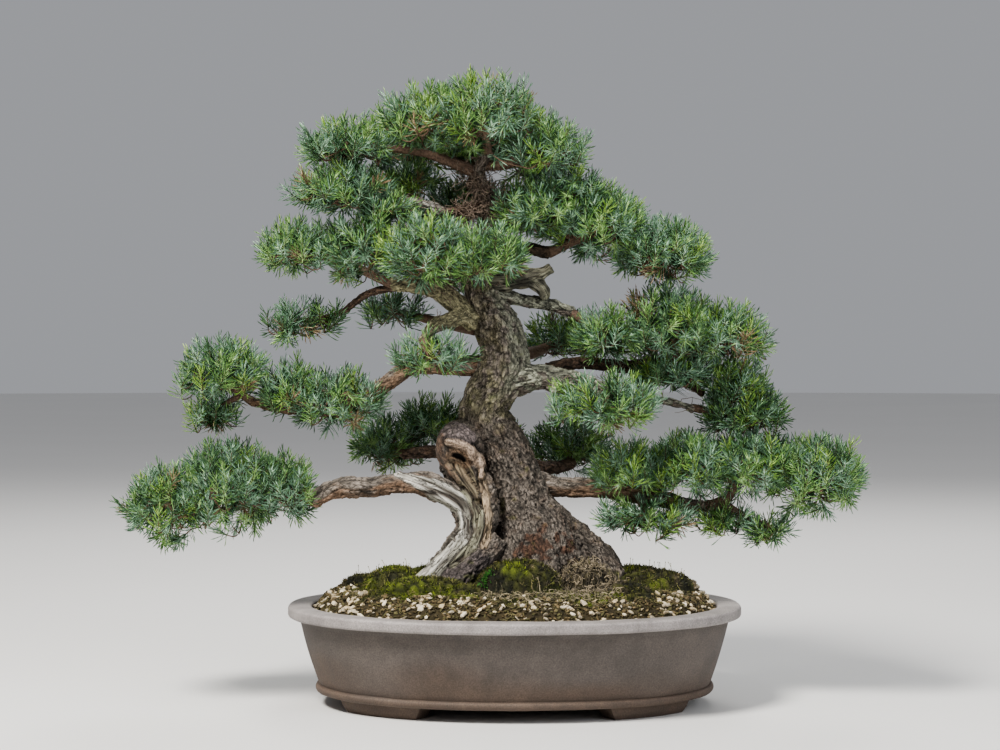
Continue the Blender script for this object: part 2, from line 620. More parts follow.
def tube_faces(index):
    """Triangles of closed tubes, from vertex numbers of shape (tubes, rings, sides)."""
    faces = [wall_faces(index)]
    for turn in range(1, index.shape[2] - 1):
        for ring, second, third in ((0, turn + 1, turn), (-1, turn, turn + 1)):
            faces.append(index[:, ring][:, [0, second, third]])
    return np.concatenate(faces)


def many_tubes(paths, radii, sides):
    """Closed tubes as vertices and triangles, from paths of shape (tubes, stations, 3)."""
    count, stations, _ = paths.shape
    radii = np.broadcast_to(radii, (count, stations))
    along = unit(np.gradient(paths, axis=1))
    lean = np.abs(along[:, :1, 2:]) > 0.9
    first = np.where(lean, np.array((1.0, 0.0, 0.0)), UP)
    across = unit(first - along * np.sum(first * along, axis=-1, keepdims=True))
    third = np.cross(along, across)
    angles = math.tau * np.arange(sides) / sides
    rings = (np.cos(angles)[:, None] * across[:, :, None] + np.sin(angles)[:, None] * third[:, :, None])
    vertices = paths[:, :, None] + radii[:, :, None, None] * rings
    index = np.arange(count * stations * sides).reshape(count, stations, sides)
    return vertices.reshape(-1, 3), tube_faces(index)


def faced(points, faces):
    """Vertices and triangles of many small shapes that share one list of faces."""
    count, corners, _ = points.shape
    triangles = np.array(faces)[None] + (np.arange(count) * corners)[:, None, None]
    return points.reshape(-1, 3), triangles.reshape(-1, 3)


def joined(parts):
    """One pair of arrays from several pairs of vertices and triangles."""
    vertices = np.concatenate([part[0] for part in parts])
    starts = np.cumsum([0] + [len(part[0]) for part in parts[:-1]])
    triangles = np.concatenate([part[1] + start for part, start in zip(parts, starts)])
    return vertices, triangles


# Materials

def plain_material(name, roughness):
    material = bpy.data.materials.new(name)
    material.use_nodes = True
    shader = material.node_tree.nodes["Principled BSDF"]
    shader.inputs["Roughness"].default_value = roughness
    return material, material.node_tree, shader


def add_node(tree, kind, **values):
    node = tree.nodes.new(kind)
    for key, value in values.items():
        if key in node.inputs:
            node.inputs[key].default_value = value
        else:
            setattr(node, key, value)
    return node


def feed(tree, value, socket):
    """Links a socket to another one, or gives it a plain number or colour."""
    if isinstance(value, bpy.types.NodeSocket):
        tree.links.new(value, socket)
    else:
        socket.default_value = (*value, 1.0) if isinstance(value, tuple) else value


def object_place(tree):
    return add_node(tree, "ShaderNodeTexCoord").outputs["Object"]


def stored(tree, name):
    """The node that reads what the mesh stores under a name."""
    return add_node(tree, "ShaderNodeAttribute", attribute_name=name)


def noise_texture(tree, vector, scale, detail=4.0, roughness=0.55):
    node = add_node(tree, "ShaderNodeTexNoise", Scale=scale, Detail=detail, Roughness=roughness)
    feed(tree, vector, node.inputs["Vector"])
    return node.outputs["Fac"]


def map_range(tree, value, source, target):
    """Maps a value from one range of (low, high) to another."""
    ends = zip(("From Min", "From Max", "To Min", "To Max"), (*source, *target))
    node = add_node(tree, "ShaderNodeMapRange", **dict(ends))
    feed(tree, value, node.inputs["Value"])
    return node.outputs["Result"]


def spread(tree, value, low, high):
    """Maps a noise value's middle range to low and high."""
    return map_range(tree, value, (0.3, 0.7), (low, high))


def opened(tree, value, width, least):
    """A factor that falls to its least where a value is near 0, for dark lines."""
    return map_range(tree, value, (0.0, width), (least, 1.0))


def times(tree, colour, *values):
    """A colour multiplied by numbers, one after another."""
    for value in values:
        node = add_node(tree, "ShaderNodeVectorMath", operation="SCALE")
        feed(tree, colour, node.inputs[0])
        feed(tree, value, node.inputs["Scale"])
        colour = node.outputs["Vector"]
    return colour


def blended(tree, factor, first, second):
    """A mix of two colours by a factor."""
    node = add_node(tree, "ShaderNodeMix", data_type="RGBA")
    feed(tree, first, node.inputs[6])
    feed(tree, second, node.inputs[7])
    feed(tree, factor, node.inputs["Factor"])
    return node.outputs[2]


def raised(tree, shader, height, distance, strength=1.0):
    node = add_node(tree, "ShaderNodeBump", Strength=strength, Distance=distance)
    feed(tree, height, node.inputs["Height"])
    feed(tree, node.outputs["Normal"], shader.inputs["Normal"])


def math_node(tree, operation, first, second):
    node = add_node(tree, "ShaderNodeMath", operation=operation)
    feed(tree, first, node.inputs[0])
    feed(tree, second, node.inputs[1])
    return node.outputs["Value"]


def warped_flakes(tree, grain):
    """How far each place lies from the edge of its flake, on grain bent by noise."""
    bend = add_node(tree, "ShaderNodeTexNoise", Scale=0.5, Detail=3.0)
    feed(tree, grain, bend.inputs["Vector"])
    warp = add_node(tree, "ShaderNodeVectorMath", operation="MULTIPLY_ADD")
    feed(tree, bend.outputs["Color"], warp.inputs[0])
    warp.inputs[1].default_value = (3.2, 3.2, 3.2)
    feed(tree, grain, warp.inputs[2])
    flakes = add_node(tree, "ShaderNodeTexVoronoi", feature="DISTANCE_TO_EDGE", Scale=0.24)
    feed(tree, warp.outputs["Vector"], flakes.inputs["Vector"])
    return flakes.outputs["Distance"]


def wood_material(name, roughness, depth):
    """Bark or bare wood: the stored tint, broken up by grain that runs along the limb. Small flakes
    part the bark, and thin cracks follow the grain where the tint's alpha says the wood is bare."""
    material, tree, shader = plain_material(name, roughness)
    tint = stored(tree, "tint")
    grain = stored(tree, "grain").outputs["Vector"]
    coarse = noise_texture(tree, grain, 0.45, 5.0, 0.65)
    fine = noise_texture(tree, grain, 1.6, 4.0, 0.6)
    cover = tint.outputs["Alpha"]
    bare = math_node(tree, "SUBTRACT", 1.0, cover)
    line = math_node(tree, "SUBTRACT", noise_texture(tree, grain, 0.34, 2.0, 0.5), 0.5)
    crack = opened(tree, math_node(tree, "ABSOLUTE", line, 0.0), 0.028, 0.1)
    crack = math_node(tree, "MAXIMUM", crack, cover)
    gap = opened(tree, warped_flakes(tree, grain), 0.09, 0.38)
    gap = math_node(tree, "MAXIMUM", gap, bare)
    lines = math_node(tree, "MULTIPLY", crack, gap)
    colour = times(tree, tint.outputs["Color"], spread(tree, coarse, 0.62, 1.38),
                   spread(tree, fine, 0.75, 1.25), lines)
    feed(tree, colour, shader.inputs["Base Color"])
    feed(tree, spread(tree, coarse, roughness + 0.1, roughness - 0.1), shader.inputs["Roughness"])
    rough = math_node(tree, "ADD", coarse, fine)
    height = math_node(tree, "ADD", math_node(tree, "MULTIPLY", rough, 0.6), lines)
    raised(tree, shader, height, depth)
    return material


def leaf_material(name, colour, roughness):
    """A plain colour with a slight unevenness and a waxy edge."""
    material, tree, shader = plain_material(name, roughness)
    uneven = noise_texture(tree, object_place(tree), 60.0, 2.0)
    low, high = (tuple(share * value for value in colour) for share in (0.82, 1.18))
    feed(tree, blended(tree, spread(tree, uneven, 0.0, 1.0), low, high), shader.inputs["Base Color"])
    shader.inputs["Specular IOR Level"].default_value = 0.35
    return material


def twig_material(name, dark, light, scale):
    """Rough bark of stems and twigs, too thin for relief of their own."""
    material, tree, shader = plain_material(name, 0.85)
    rough = noise_texture(tree, object_place(tree), scale, 5.0, 0.7)
    feed(tree, blended(tree, spread(tree, rough, 0.0, 1.0), dark, light), shader.inputs["Base Color"])
    raised(tree, shader, rough, 0.0006)
    return material


def earth_material(name, roughness, scale, depth):
    """Moss, grit or soil: the stored tint, broken up by small noise."""
    material, tree, shader = plain_material(name, roughness)
    fine = noise_texture(tree, object_place(tree), scale, 5.0, 0.7)
    colour = times(tree, stored(tree, "tint").outputs["Color"], spread(tree, fine, 0.6, 1.4))
    feed(tree, colour, shader.inputs["Base Color"])
    raised(tree, shader, fine, depth)
    return material


def stoneware_material():
    """Unglazed clay: a grey-brown body with speckles, stains and a fine grain."""
    material, tree, shader = plain_material("stoneware_clay", 0.72)
    place = object_place(tree)
    cloud = noise_texture(tree, place, 14.0, 4.0)
    stain = noise_texture(tree, place, 55.0, 5.0, 0.65)
    speckle = noise_texture(tree, place, 700.0, 3.0, 0.7)
    grain = noise_texture(tree, place, 1800.0, 2.0)
    colour = times(tree, stored(tree, "tint").outputs["Color"], spread(tree, cloud, 0.88, 1.12),
                   spread(tree, stain, 0.82, 1.18), spread(tree, speckle, 0.7, 1.3))
    feed(tree, colour, shader.inputs["Base Color"])
    feed(tree, spread(tree, stain, 0.62, 0.82), shader.inputs["Roughness"])
    raised(tree, shader, math_node(tree, "ADD", speckle, grain), 0.00035, 0.7)
    return material


# Pot

def oval_points(half_length, angles, height):
    """Points of a pot turn: an oval a little squarer than an ellipse."""
    power = 2 / OVAL_POWER
    c, s = np.cos(angles), np.sin(angles)
    x = half_length * np.sign(c) * np.abs(c) ** power
    y = (half_length - OVAL_STEP) * np.sign(s) * np.abs(s) ** power
    return np.stack((x, y, np.full_like(x, height)), axis=-1)


def arc(middle, height, radius, start, end, steps):
    angles = np.radians(np.linspace(start, end, steps + 1))
    return [(middle + radius * math.cos(a), height + radius * math.sin(a)) for a in angles]


def turned_oval(profile):
    """A closed solid from a profile of (half-length, height) that starts and ends at the middle."""
    angles = math.tau * np.arange(POT_SEGMENTS) / POT_SEGMENTS
    rings = [oval_points(half_length, angles, height) for half_length, height in profile]
    ends = [(0, 0, profile[0][1]), (0, 0, profile[-1][1])]
    return np.concatenate(rings + [ends]), lofted_faces(len(profile), POT_SEGMENTS)


def clay_tint(points):
    """Grey clay at the rim and browner towards the foot, dark in the corners under rim and band,
    worn pale on their upper edges."""
    rim = np.array((0.270, 0.246, 0.236))
    wall = np.array((0.100, 0.084, 0.074))
    foot = np.array((0.090, 0.064, 0.048))
    height = points[:, 2]
    patch = noise(points / np.array((70.0, 70.0, 25.0)), 5)
    blotch = noise(points / np.array((28.0, 28.0, 13.0)), 6)
    colour = mixed(wall, foot, ramp(60 - height + 22 * patch, 0, 45))
    colour = mixed(colour, rim, ramp(height, RIM_UNDER - 2, RIM_UNDER + 1))
    under_rim = ramp(height, RIM_UNDER - 9, RIM_UNDER - 1) * (height < RIM_UNDER)
    groove = bell(height - BAND_MIDDLE - BAND_ROUND - 1, 1.6)
    worn = bell(height - BAND_MIDDLE - 0.6 * BAND_ROUND, 1.1)
    worn = worn + 0.5 * bell(height - RIM_TOP + 1.0, 1.2)
    return colour * (1 + 0.09 * blotch - 0.28 * under_rim - 0.35 * groove + 0.38 * worn)[:, None]


def clay_piece(name, vertices, triangles, material, node):
    vertices = vertices + 0.35 * noise(vertices / 26.0, 2)[:, None] * (vertices[:, 2:] > 0.01)
    item = new_piece(name, vertices, triangles, [material])
    item.data.set_sharp_from_angle(angle=math.radians(38))
    give_colours(item, clay_tint(vertices))
    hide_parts(node)
    return item


def build_pot(material):
    profile = [(60, BASE_HEIGHT), (130, BASE_HEIGHT), (BASE_HALF_LENGTH, BASE_HEIGHT)]
    profile += arc(WALL_FOOT_HALF_LENGTH - 2, BAND_MIDDLE, BAND_ROUND, -80, 80, 10)
    wall_foot = profile[-1]
    wall_top = (WALL_TOP_HALF_LENGTH, RIM_UNDER - 1)
    for step in range(1, 12):
        share = step / 12
        bow = 1.2 * math.sin(math.pi * share)
        profile.append((wall_foot[0] + (wall_top[0] - wall_foot[0]) * share + bow,
                        wall_foot[1] + (wall_top[1] - wall_foot[1]) * share))
    profile += [wall_top, (WALL_TOP_HALF_LENGTH + 2, RIM_UNDER)]
    outer = RIM_HALF_LENGTH - RIM_ROUND
    profile += arc(outer, RIM_UNDER + RIM_ROUND, RIM_ROUND, -80, 0, 5)
    profile += arc(outer, RIM_TOP - RIM_ROUND, RIM_ROUND, 0, 90, 6)
    profile += [(RIM_INNER + 14, RIM_TOP + 0.2)]
    profile += arc(RIM_INNER + 3, RIM_TOP - 3, 3, 90, 180, 4)
    profile += [(RIM_INNER, SOIL_EDGE), (FLOOR_HALF_LENGTH + 9, FLOOR_HEIGHT + 5)]
    profile += [(FLOOR_HALF_LENGTH, FLOOR_HEIGHT), (60, FLOOR_HEIGHT)]
    vertices, triangles = turned_oval(profile)
    pot = clay_piece("pot_stoneware", vertices, triangles, material, "pot")
    for side in (-1, 1):
        drill_drain(pot, side)
    return pot


def drill_drain(pot, side):
    """Cuts one drain hole through the pot's floor."""
    mesh_data = bmesh.new()
    place = Matrix.Translation(Vector(PLANT_SHIFT + (side * DRAIN_OFFSET, 0, BASE_HEIGHT)) * MM)
    bmesh.ops.create_cone(mesh_data, cap_ends=True, segments=40, radius1=DRAIN_RADIUS * MM,
                          radius2=DRAIN_RADIUS * MM, depth=40 * MM, matrix=place)
    mesh = bpy.data.meshes.new("drain")
    mesh_data.to_mesh(mesh)
    mesh_data.free()
    cutter = bpy.data.objects.new("drain", mesh)
    bpy.context.scene.collection.objects.link(cutter)
    modifier = pot.modifiers.new("drain", "BOOLEAN")
    modifier.object = cutter
    modifier.solver = "EXACT"
    apply_modifiers(pot)
    bpy.data.objects.remove(cutter, do_unlink=True)


def apply_modifiers(item):
    shaped = item.evaluated_get(bpy.context.evaluated_depsgraph_get())
    mesh = bpy.data.meshes.new_from_object(shaped)
    item.modifiers.clear()
    old_mesh = item.data
    item.data = mesh
    bpy.data.meshes.remove(old_mesh)


def build_foot(name, side_x, side_y, material):
    """A curved block under the base, with rounded edges and slanted ends."""
    inner = BASE_HALF_LENGTH - FOOT_DEPTH
    top = BASE_HEIGHT + 0.4
    corners = ((BASE_HALF_LENGTH - 1, 0, top), (BASE_HALF_LENGTH - 2.2, 0.4, 6.0),
               (BASE_HALF_LENGTH - 4.4, 0.9, 1.2), (BASE_HALF_LENGTH - 5.6, 1.0, 0.0),
               (inner + 1, 1.0, 0.0), (inner - 0.6, 0.9, 1.2), (inner - 3, 0, top))
    sections = []
    for share in np.linspace(0, 1, FOOT_STEPS + 1):
        slant = FOOT_SLANT * (1 - 2 * share)
        turn = FOOT_FROM + (FOOT_TO - FOOT_FROM) * share
        sections.append([oval_points(half, np.array([turn + slant * part]), height)[0]
                         for half, part, height in corners])
    vertices = (np.array(sections) * np.array((side_x, side_y, 1))).reshape(-1, 3)
    triangles = tube_faces(np.arange(len(vertices)).reshape(1, len(sections), len(corners)))
    if side_x * side_y < 0:
        triangles = triangles[:, ::-1]
    return clay_piece(name + "_stoneware", vertices, triangles, material, name)


# Bark and deadwood

def carried_sides(along):
    """A direction across a curve at each station, turned no more than the curve turns it."""
    side = np.array((0.31, 0.87, 0.38))
    sides = []
    for direction in along:
        side = side - direction * side.dot(direction)
        side = side / np.linalg.norm(side)
        sides.append(side)
    return np.array(sides)


class LimbSpace:
    """Coordinates along and across a set of limbs, for every point near them."""

    def __init__(self, tubes):
        curves = [smooth_curve(tube, SPACE_STEPS) for tube in tubes]
        alongs = [unit(np.gradient(curve[:, :3], axis=0)) for curve in curves]
        steps = [np.linalg.norm(np.diff(curve[:, :3], axis=0), axis=1) for curve in curves]
        self.rows = np.concatenate(curves)
        self.along = np.concatenate(alongs)
        self.side = np.concatenate([carried_sides(along) for along in alongs])
        self.third = np.cross(self.along, self.side)
        self.length = np.concatenate([np.concatenate([[0], np.cumsum(step)]) + 1000.0 * index
                                      for index, step in enumerate(steps)])

    def local(self, points):
        """Places across (two) and along the nearest limb, and the distance out from its surface."""
        result = np.zeros_like(points)
        outside = np.zeros(len(points))
        for start in range(0, len(points), POINTS_AT_ONCE):
            chunk = points[start:start + POINTS_AT_ONCE]
            away = np.linalg.norm(chunk[:, None] - self.rows[None, :, :3], axis=2) - self.rows[:, 3]
            nearest = np.argmin(away, axis=1)
            reach = chunk - self.rows[nearest, :3]
            result[start:start + POINTS_AT_ONCE] = np.stack((
                np.sum(reach * self.side[nearest], axis=1),
                np.sum(reach * self.third[nearest], axis=1),
                self.length[nearest] + np.sum(reach * self.along[nearest], axis=1),
            ), axis=-1)
            outside[start:start + POINTS_AT_ONCE] = away[np.arange(len(chunk)), nearest]
        return result, outside


def limb_tube(tube, sides, flute=0.0):
    """A fine closed tube on the same curve and flutes as the solid's."""
    rows = smooth_curve(tube, TUBE_STEPS)
    along = unit(np.gradient(rows[:, :3], axis=0))
    side = carried_sides(along)
    third = np.cross(along, side)
    angles = math.tau * np.arange(sides) / sides
    turn = 2 * np.arange(len(rows))[:, None] / TUBE_STEPS
    waves = np.sin(3 * angles + 0.31 * turn) + 0.6 * np.sin(5 * angles - 0.23 * turn)
    radius = rows[:, 3:] * (1 + flute * waves)
    ring = np.cos(angles)[:, None] * side[:, None] + np.sin(angles)[:, None] * third[:, None]
    vertices = rows[:, None, :3] + radius[:, :, None] * ring
    return np.concatenate([vertices.reshape(-1, 3), rows[[0, -1], :3]]), lofted_faces(len(rows), sides)


def ball_mesh(centre, radii, rings=24, sides=48):
    heights = np.linspace(-math.pi / 2, math.pi / 2, rings + 1)[1:-1, None]
    angles = math.tau * np.arange(sides) / sides
    grid = np.stack((np.cos(heights) * np.cos(angles), np.cos(heights) * np.sin(angles),
                     np.sin(heights) + 0 * angles), axis=-1)
    vertices = np.concatenate([grid.reshape(-1, 3), [(0, 0, -1), (0, 0, 1)]])
    return vertices * np.array(radii) + np.array(centre), lofted_faces(len(heights), sides)


def melted(name, parts, voxel, material):
    """Joins overlapping closed parts into one skin of even small faces."""
    vertices, triangles = joined(parts)
    item = new_piece(name, vertices, triangles, [material])
    remesh = item.modifiers.new("skin", "REMESH")
    remesh.mode = "VOXEL"
    remesh.voxel_size = voxel * MM
    remesh.use_smooth_shade = True
    relax = item.modifiers.new("relax", "SMOOTH")
    relax.factor = 0.5
    relax.iterations = 5
    apply_modifiers(item)
    return item


def places_and_normals(item):
    count = len(item.data.vertices)
    places = np.zeros(3 * count, dtype=np.float32)
    item.data.vertices.foreach_get("co", places)
    normals = np.zeros(3 * count, dtype=np.float32)
    item.data.vertex_normals.foreach_get("vector", normals)
    return places.reshape(-1, 3) / MM - PLANT_SHIFT, normals.reshape(-1, 3).astype(float)


def move_vertices(item, points):
    places = (points + PLANT_SHIFT) * MM
    item.data.vertices.foreach_set("co", places.astype(np.float32).ravel())
    item.data.update()


def front_path(points, path):
    """How far inside a path seen from the front points lie, and places across and along it."""
    flat = points * np.array((1, 0, 1))
    place, outside = LimbSpace([[(x, 0, z, half) for x, z, half in path]]).local(flat)
    place[:, 0] += 0.8 * points[:, 1]
    return -outside, place


def stream_space(points):
    """How far inside the bare streams points lie, places across and along the nearest one, which
    one it is, and how near its border with the next one is."""
    found = [front_path(points, stream) for stream in DEAD_STREAMS]
    deeps = np.stack([deep for deep, _ in found])
    order = np.sort(deeps, axis=0)
    which = np.argmax(deeps, axis=0)
    local = np.stack([place for _, place in found])[which, np.arange(len(points))]
    return order[-1], local + 40.0 * which[:, None], which, order[-1] - order[-2]


def bark_relief(local, size, seed):
    """Flaky bark: height, and how light each flake is, from places across and along a limb."""
    stretched = local / np.array((size, size, 2.8 * size))
    fray = noise_vectors(stretched * 3.3, seed + 5)
    warped = stretched + 0.5 * noise_vectors(stretched * 1.1, seed) + 0.2 * fray
    edge, number, away = cells_of(warped, seed + 3)
    small_edge, small_number, small_away = cells_of(warped * 2.1 + 0.25 * fray, seed + 9)
    fissure = 0.75 * bell(grain_noise(local, 1.5 * size, 5.5 * size, seed + 13), 0.09)
    lifted = ramp(-away[:, 2], -0.1, 0.55)
    small_lifted = ramp(-small_away[:, 2], -0.1, 0.5)
    groove = 1 - ramp(edge, 0.01, 0.16)
    small_groove = 1 - ramp(small_edge, 0.0, 0.16)
    height = 0.9 * number + 0.6 * lifted + 0.5 * small_number + 0.35 * small_lifted
    height = height - 0.9 * groove - 0.3 * small_groove - 1.0 * fissure - 0.7
    light = 0.42 + 0.18 * (number - 0.5) + 0.12 * (small_number - 0.5)
    light = light + 0.34 * lifted + 0.20 * small_lifted + 0.10 * fray[:, 0]
    light = np.clip(light, 0.04, 1) * (1 - 0.8 * groove) * (1 - 0.4 * small_groove)
    return height, np.clip(light * (1 - 0.7 * fissure), 0, 1)


def dead_relief(local, seed):
    """Bare wood: long ridges, fibres and deep cracks along the stream."""
    fibre = grain_noise(local, 1.5, 40.0, seed)
    ridge = grain_noise(local, 3.4, 75.0, seed + 1)
    crack = bell(grain_noise(local, 4.4, 90.0, seed + 2), 0.11)
    split = bell(grain_noise(local, 2.8, 60.0, seed + 3), 0.10)
    height = 0.35 * fibre + 0.95 * ridge - 2.6 * crack - 1.0 * split
    light = np.clip(0.72 + 0.26 * fibre + 0.30 * ridge, 0, 1)
    return height, light * (1 - 0.94 * crack) * (1 - 0.6 * split)


def dead_colour(light, stream, which):
    """Each stream's own colour, streaked along the grain, and nearly black in its cracks."""
    streak = ramp(grain_noise(stream, 3.6, 45.0, 60), -0.05, 0.4)
    base = np.array([BARK[name] for name in STREAM_COLOURS])[which]
    other = np.array([BARK[name] for name in STREAM_STREAKS])[which]
    return mixed(BARK["crack"], mixed(base, other, 0.6 * streak), light)


def lit(name, low, light, high=1.0):
    """A bark colour, from a low share of it in the dark to a high share in the light."""
    return mixed(low * BARK[name], high * BARK[name], light)


def limb_colour(kind, light, points, normals, local, seed):
    """Colour of live bark for each kind of limb."""
    patch = noise(points / 16.0, seed + 20)
    small = noise(points / 6.0, seed + 21)
    streak = grain_noise(local, 3.6, 34.0, seed + 22)
    base = BARK["brown"] if kind in ("brown", "silvered") else BARK["light"]
    colour = mixed(BARK["dark"], base, np.clip(0.08 + light, 0, 1))
    if kind == "peeling":
        under = ramp(0.5 * patch + 0.5 * streak - 0.5 * normals[:, 2], -0.35, 0.15)
        smooth_wood = lit("peeled", 0.15, np.clip(0.45 + 0.4 * light + 0.5 * streak, 0.08, 1))
        colour = mixed(colour, smooth_wood, 0.85 * under)
    if kind == "silvered":
        worn = ramp(-points[:, 0] + 8 * small, 60, 85)
        colour = mixed(colour, lit("bleached", 0.1, light, 0.7), worn)
    if kind == "olive":
        olive = lit("olive", 0.15, np.clip(light + 0.1, 0, 1), 1.5)
        colour = mixed(colour, olive, ramp(patch, -1.0, -0.2))
    if kind == "lichen":
        crust = ramp(small + 0.4 * patch + 0.5 * normals[:, 2], -0.6, -0.1)
        colour = mixed(colour, lit("lichen", 0.05, np.clip(1.2 * light, 0, 1)), 0.95 * crust)
    return colour


def trunk_colour(light, points, normals, seed):
    """Grey-brown bark, olive in the middle, with lichen on the right above it, rusty at the right of
    the foot, mauve on the knot's cap and the left root, and mossy at the soil."""
    patch = noise(points / 20.0, seed + 30)
    small = noise(points / 6.0, seed + 31)
    height = points[:, 2]
    colour = mixed(BARK["dark"], BARK["light"], light)
    colour = colour * (1 + np.clip(small, 0, 1)[:, None] * np.array((0.10, -0.04, -0.12)))
    wavy = height + 14 * patch
    band = ramp(wavy, 268, 290) * (1 - 0.4 * ramp(wavy, 325, 350)) * (1 - ramp(height, 400, 470))
    colour = mixed(colour, lit("olive", 0.15, light), 0.85 * band * ramp(small, -0.6, 0.3))
    right = ramp(normals[:, 0] + 0.5 * small, 0.1, 0.7)
    crust = right * ramp(height, 295, 320) * (1 - ramp(height, 400, 430))
    colour = mixed(colour, lit("lichen", 0.08, light, 0.75), 0.75 * crust)
    rust_place = how_far_out(points, (28, -45, 160), (36, 60, 16))
    rusty = ramp(1.2 * small + 0.5 * patch - 1.3 * rust_place, -1.3, -0.7)
    colour = mixed(colour, lit("rust", 0.1, light), 0.8 * rusty)
    left_root = how_far_out(points, (-46, -48, 138), (30, 26, 17))
    cap, _ = front_path(points, KNOT_CAP)
    on_cap = ramp(cap + 2 * small, -3, 1) * ramp(-points[:, 1], 8, 18)
    mauve = (1 + 0.6 * ramp(height, 240, 255))[:, None] * lit("mauve", 0.15, light)
    colour = mixed(colour, mauve, 0.85 * np.maximum(ramp(-left_root, -1.2, -0.8), on_cap))
    green = ramp(small - ramp(height, 118, 142) + 0.3 * patch, -0.5, 0.1)
    return mixed(colour, MOSS["foot"] * (0.3 + light[:, None]), 0.7 * green)


def knot_shape(points, colour):
    """Adds the knot's lip, roll, cap and hollow: the push out, the new colours, the share of each
    place that they cover, and how hollow it is."""
    front = ramp(-points[:, 1], 12, 24)
    warp = points + 1.5 * noise_vectors(points / 6.0, 33)
    lip, lip_place = front_path(warp, KNOT_LIP)
    roll, roll_place = front_path(warp, KNOT_ROLL)
    cap, _ = front_path(warp, KNOT_CAP)
    hollow, _ = front_path(warp, KNOT_HOLLOW)
    lip_share = ramp(lip, -0.8, 1.0) * front
    roll_share = ramp(roll, -1.0, 1.5) * front * (1 - lip_share)
    mouth = ramp(hollow, -1.4, 1.2) * (1 - lip_share) * front
    funnel = ramp(hollow, -9, -3) * (1 - lip_share) * front
    push = 0.9 * np.sqrt(np.clip(lip + 0.6, 0, None) * 5) * front
    push += 0.6 * np.sqrt(np.clip(roll + 1, 0, None) * 4) * roll_share
    push += 0.5 * np.sqrt(np.clip(cap + 1, 0, None) * 5) * front * (1 - lip_share)
    lip_lines = grain_noise(lip_place, 1.5, 13.0, 35)
    roll_lines = grain_noise(roll_place, 2.2, 12.0, 36)
    push += 1.1 * lip_lines * lip_share + 0.9 * roll_lines * roll_share
    lip_light = np.clip(0.58 + 0.8 * lip_lines, 0.05, 1) * ramp(lip, -1.2, 1.6)
    roll_light = np.clip(0.55 + 0.8 * roll_lines, 0.05, 1)
    colour = mixed(colour, mixed(BARK["dark"], 1.2 * BARK["brown"], roll_light), 0.75 * roll_share)
    colour = mixed(colour, mixed(0.35 * BARK["aged"], BARK["pale"], lip_light), lip_share)
    crease = bell(lip + 1.6, 0.9) + bell(roll + 1.6, 0.9)
    colour = colour * (1 - 0.7 * np.clip(crease * front, 0, 1))[:, None]
    bowl = lit("aged", 0.25, np.clip(0.55 + 0.9 * lip_lines, 0, 1), 1.15)
    colour = mixed(colour, bowl, 0.85 * funnel)
    colour = mixed(colour, 0.3 * BARK["crack"], ramp(mouth, 0.3, 0.9))
    covered = np.clip(lip_share + roll_share + funnel, 0, 1)
    return push - 1.6 * funnel, colour, covered, mouth


def trunk_bark(points, normals, local):
    """Height and colour of the live bark: small flakes below, long coarse ones above."""
    low_height, low_light = bark_relief(local, 4.4, 1)
    high_height, high_light = bark_relief(local * np.array((1, 1, 1.7)), 6.8, 2)
    upper = ramp(points[:, 2] + 14 * noise(points / 15.0, 8), 262, 300)
    thin = np.clip((580 - points[:, 2]) / 220, 0.35, 1.0)
    height = thin * (1.6 * low_height * (1 - upper) + 1.8 * high_height * upper)
    light = low_light * (1 - upper) + high_light * upper
    return height, trunk_colour(light, points, normals, 1) * (0.85 + 0.45 * upper[:, None])


def build_trunk(material):
    """The trunk's skin: bark, then the bare streams of deadwood, then the knot."""
    parts = [limb_tube(TRUNK_TUBE, 64, 0.045)]
    parts += [limb_tube(route, 32, 0.03) for route in ROOT_TUBES]
    parts += [limb_tube(route, 32) for route in (SHARI_TUBE, WEB_TUBE, ELBOW_TUBE)]
    parts.append(ball_mesh(KNOT, KNOT_RADII))
    item = melted("trunk_bark", parts, 1.2, material)
    points, normals = places_and_normals(item)
    swell = 1.8 * noise(points / 21.0, 12) + 0.9 * noise(points / 9.0, 13)
    points = points + swell[:, None] * normals
    local, _ = LimbSpace((TRUNK_TUBE, *ROOT_TUBES)).local(points)
    height, colour = trunk_bark(points, normals, local)

    inside, stream, which, border = stream_space(points)
    ragged = inside + (1.2 * noise(points / 8.0, 40) + 0.8 * noise(points / 3.0, 41))
    front = ramp(-points[:, 1], 4, 16)
    dead = ramp(ragged, -0.8, 0.8) * front
    callus = bell(ragged + 3.2, 1.8) * front
    seam = bell(border, 1.1) * (inside > -2)
    wood_height, wood_light = dead_relief(stream, 50)
    wood_light = wood_light * (1 - 0.85 * seam)
    wood_height = wood_height - 2.2 * seam
    height = height * (1 - dead) + (wood_height - 1.0) * dead + 1.5 * callus
    colour = mixed(colour, dead_colour(wood_light, stream, which), dead)

    push, colour, covered, mouth = knot_shape(points, colour)
    height = height * (1 - 0.8 * covered) + push
    points = points + height[:, None] * normals
    points[:, 1] += 9.0 * mouth
    points[:, 2] = np.maximum(points[:, 2], TRUNK_CUT)
    move_vertices(item, points)
    give_colours(item, colour, np.maximum(dead, 0.8 * covered))
    grain = np.where(dead[:, None] > 0.5, stream / np.array((1, 1, 9.0)), local / np.array((1, 1, 2.2)))
    give_vectors(item, "grain", grain)
    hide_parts("trunk")


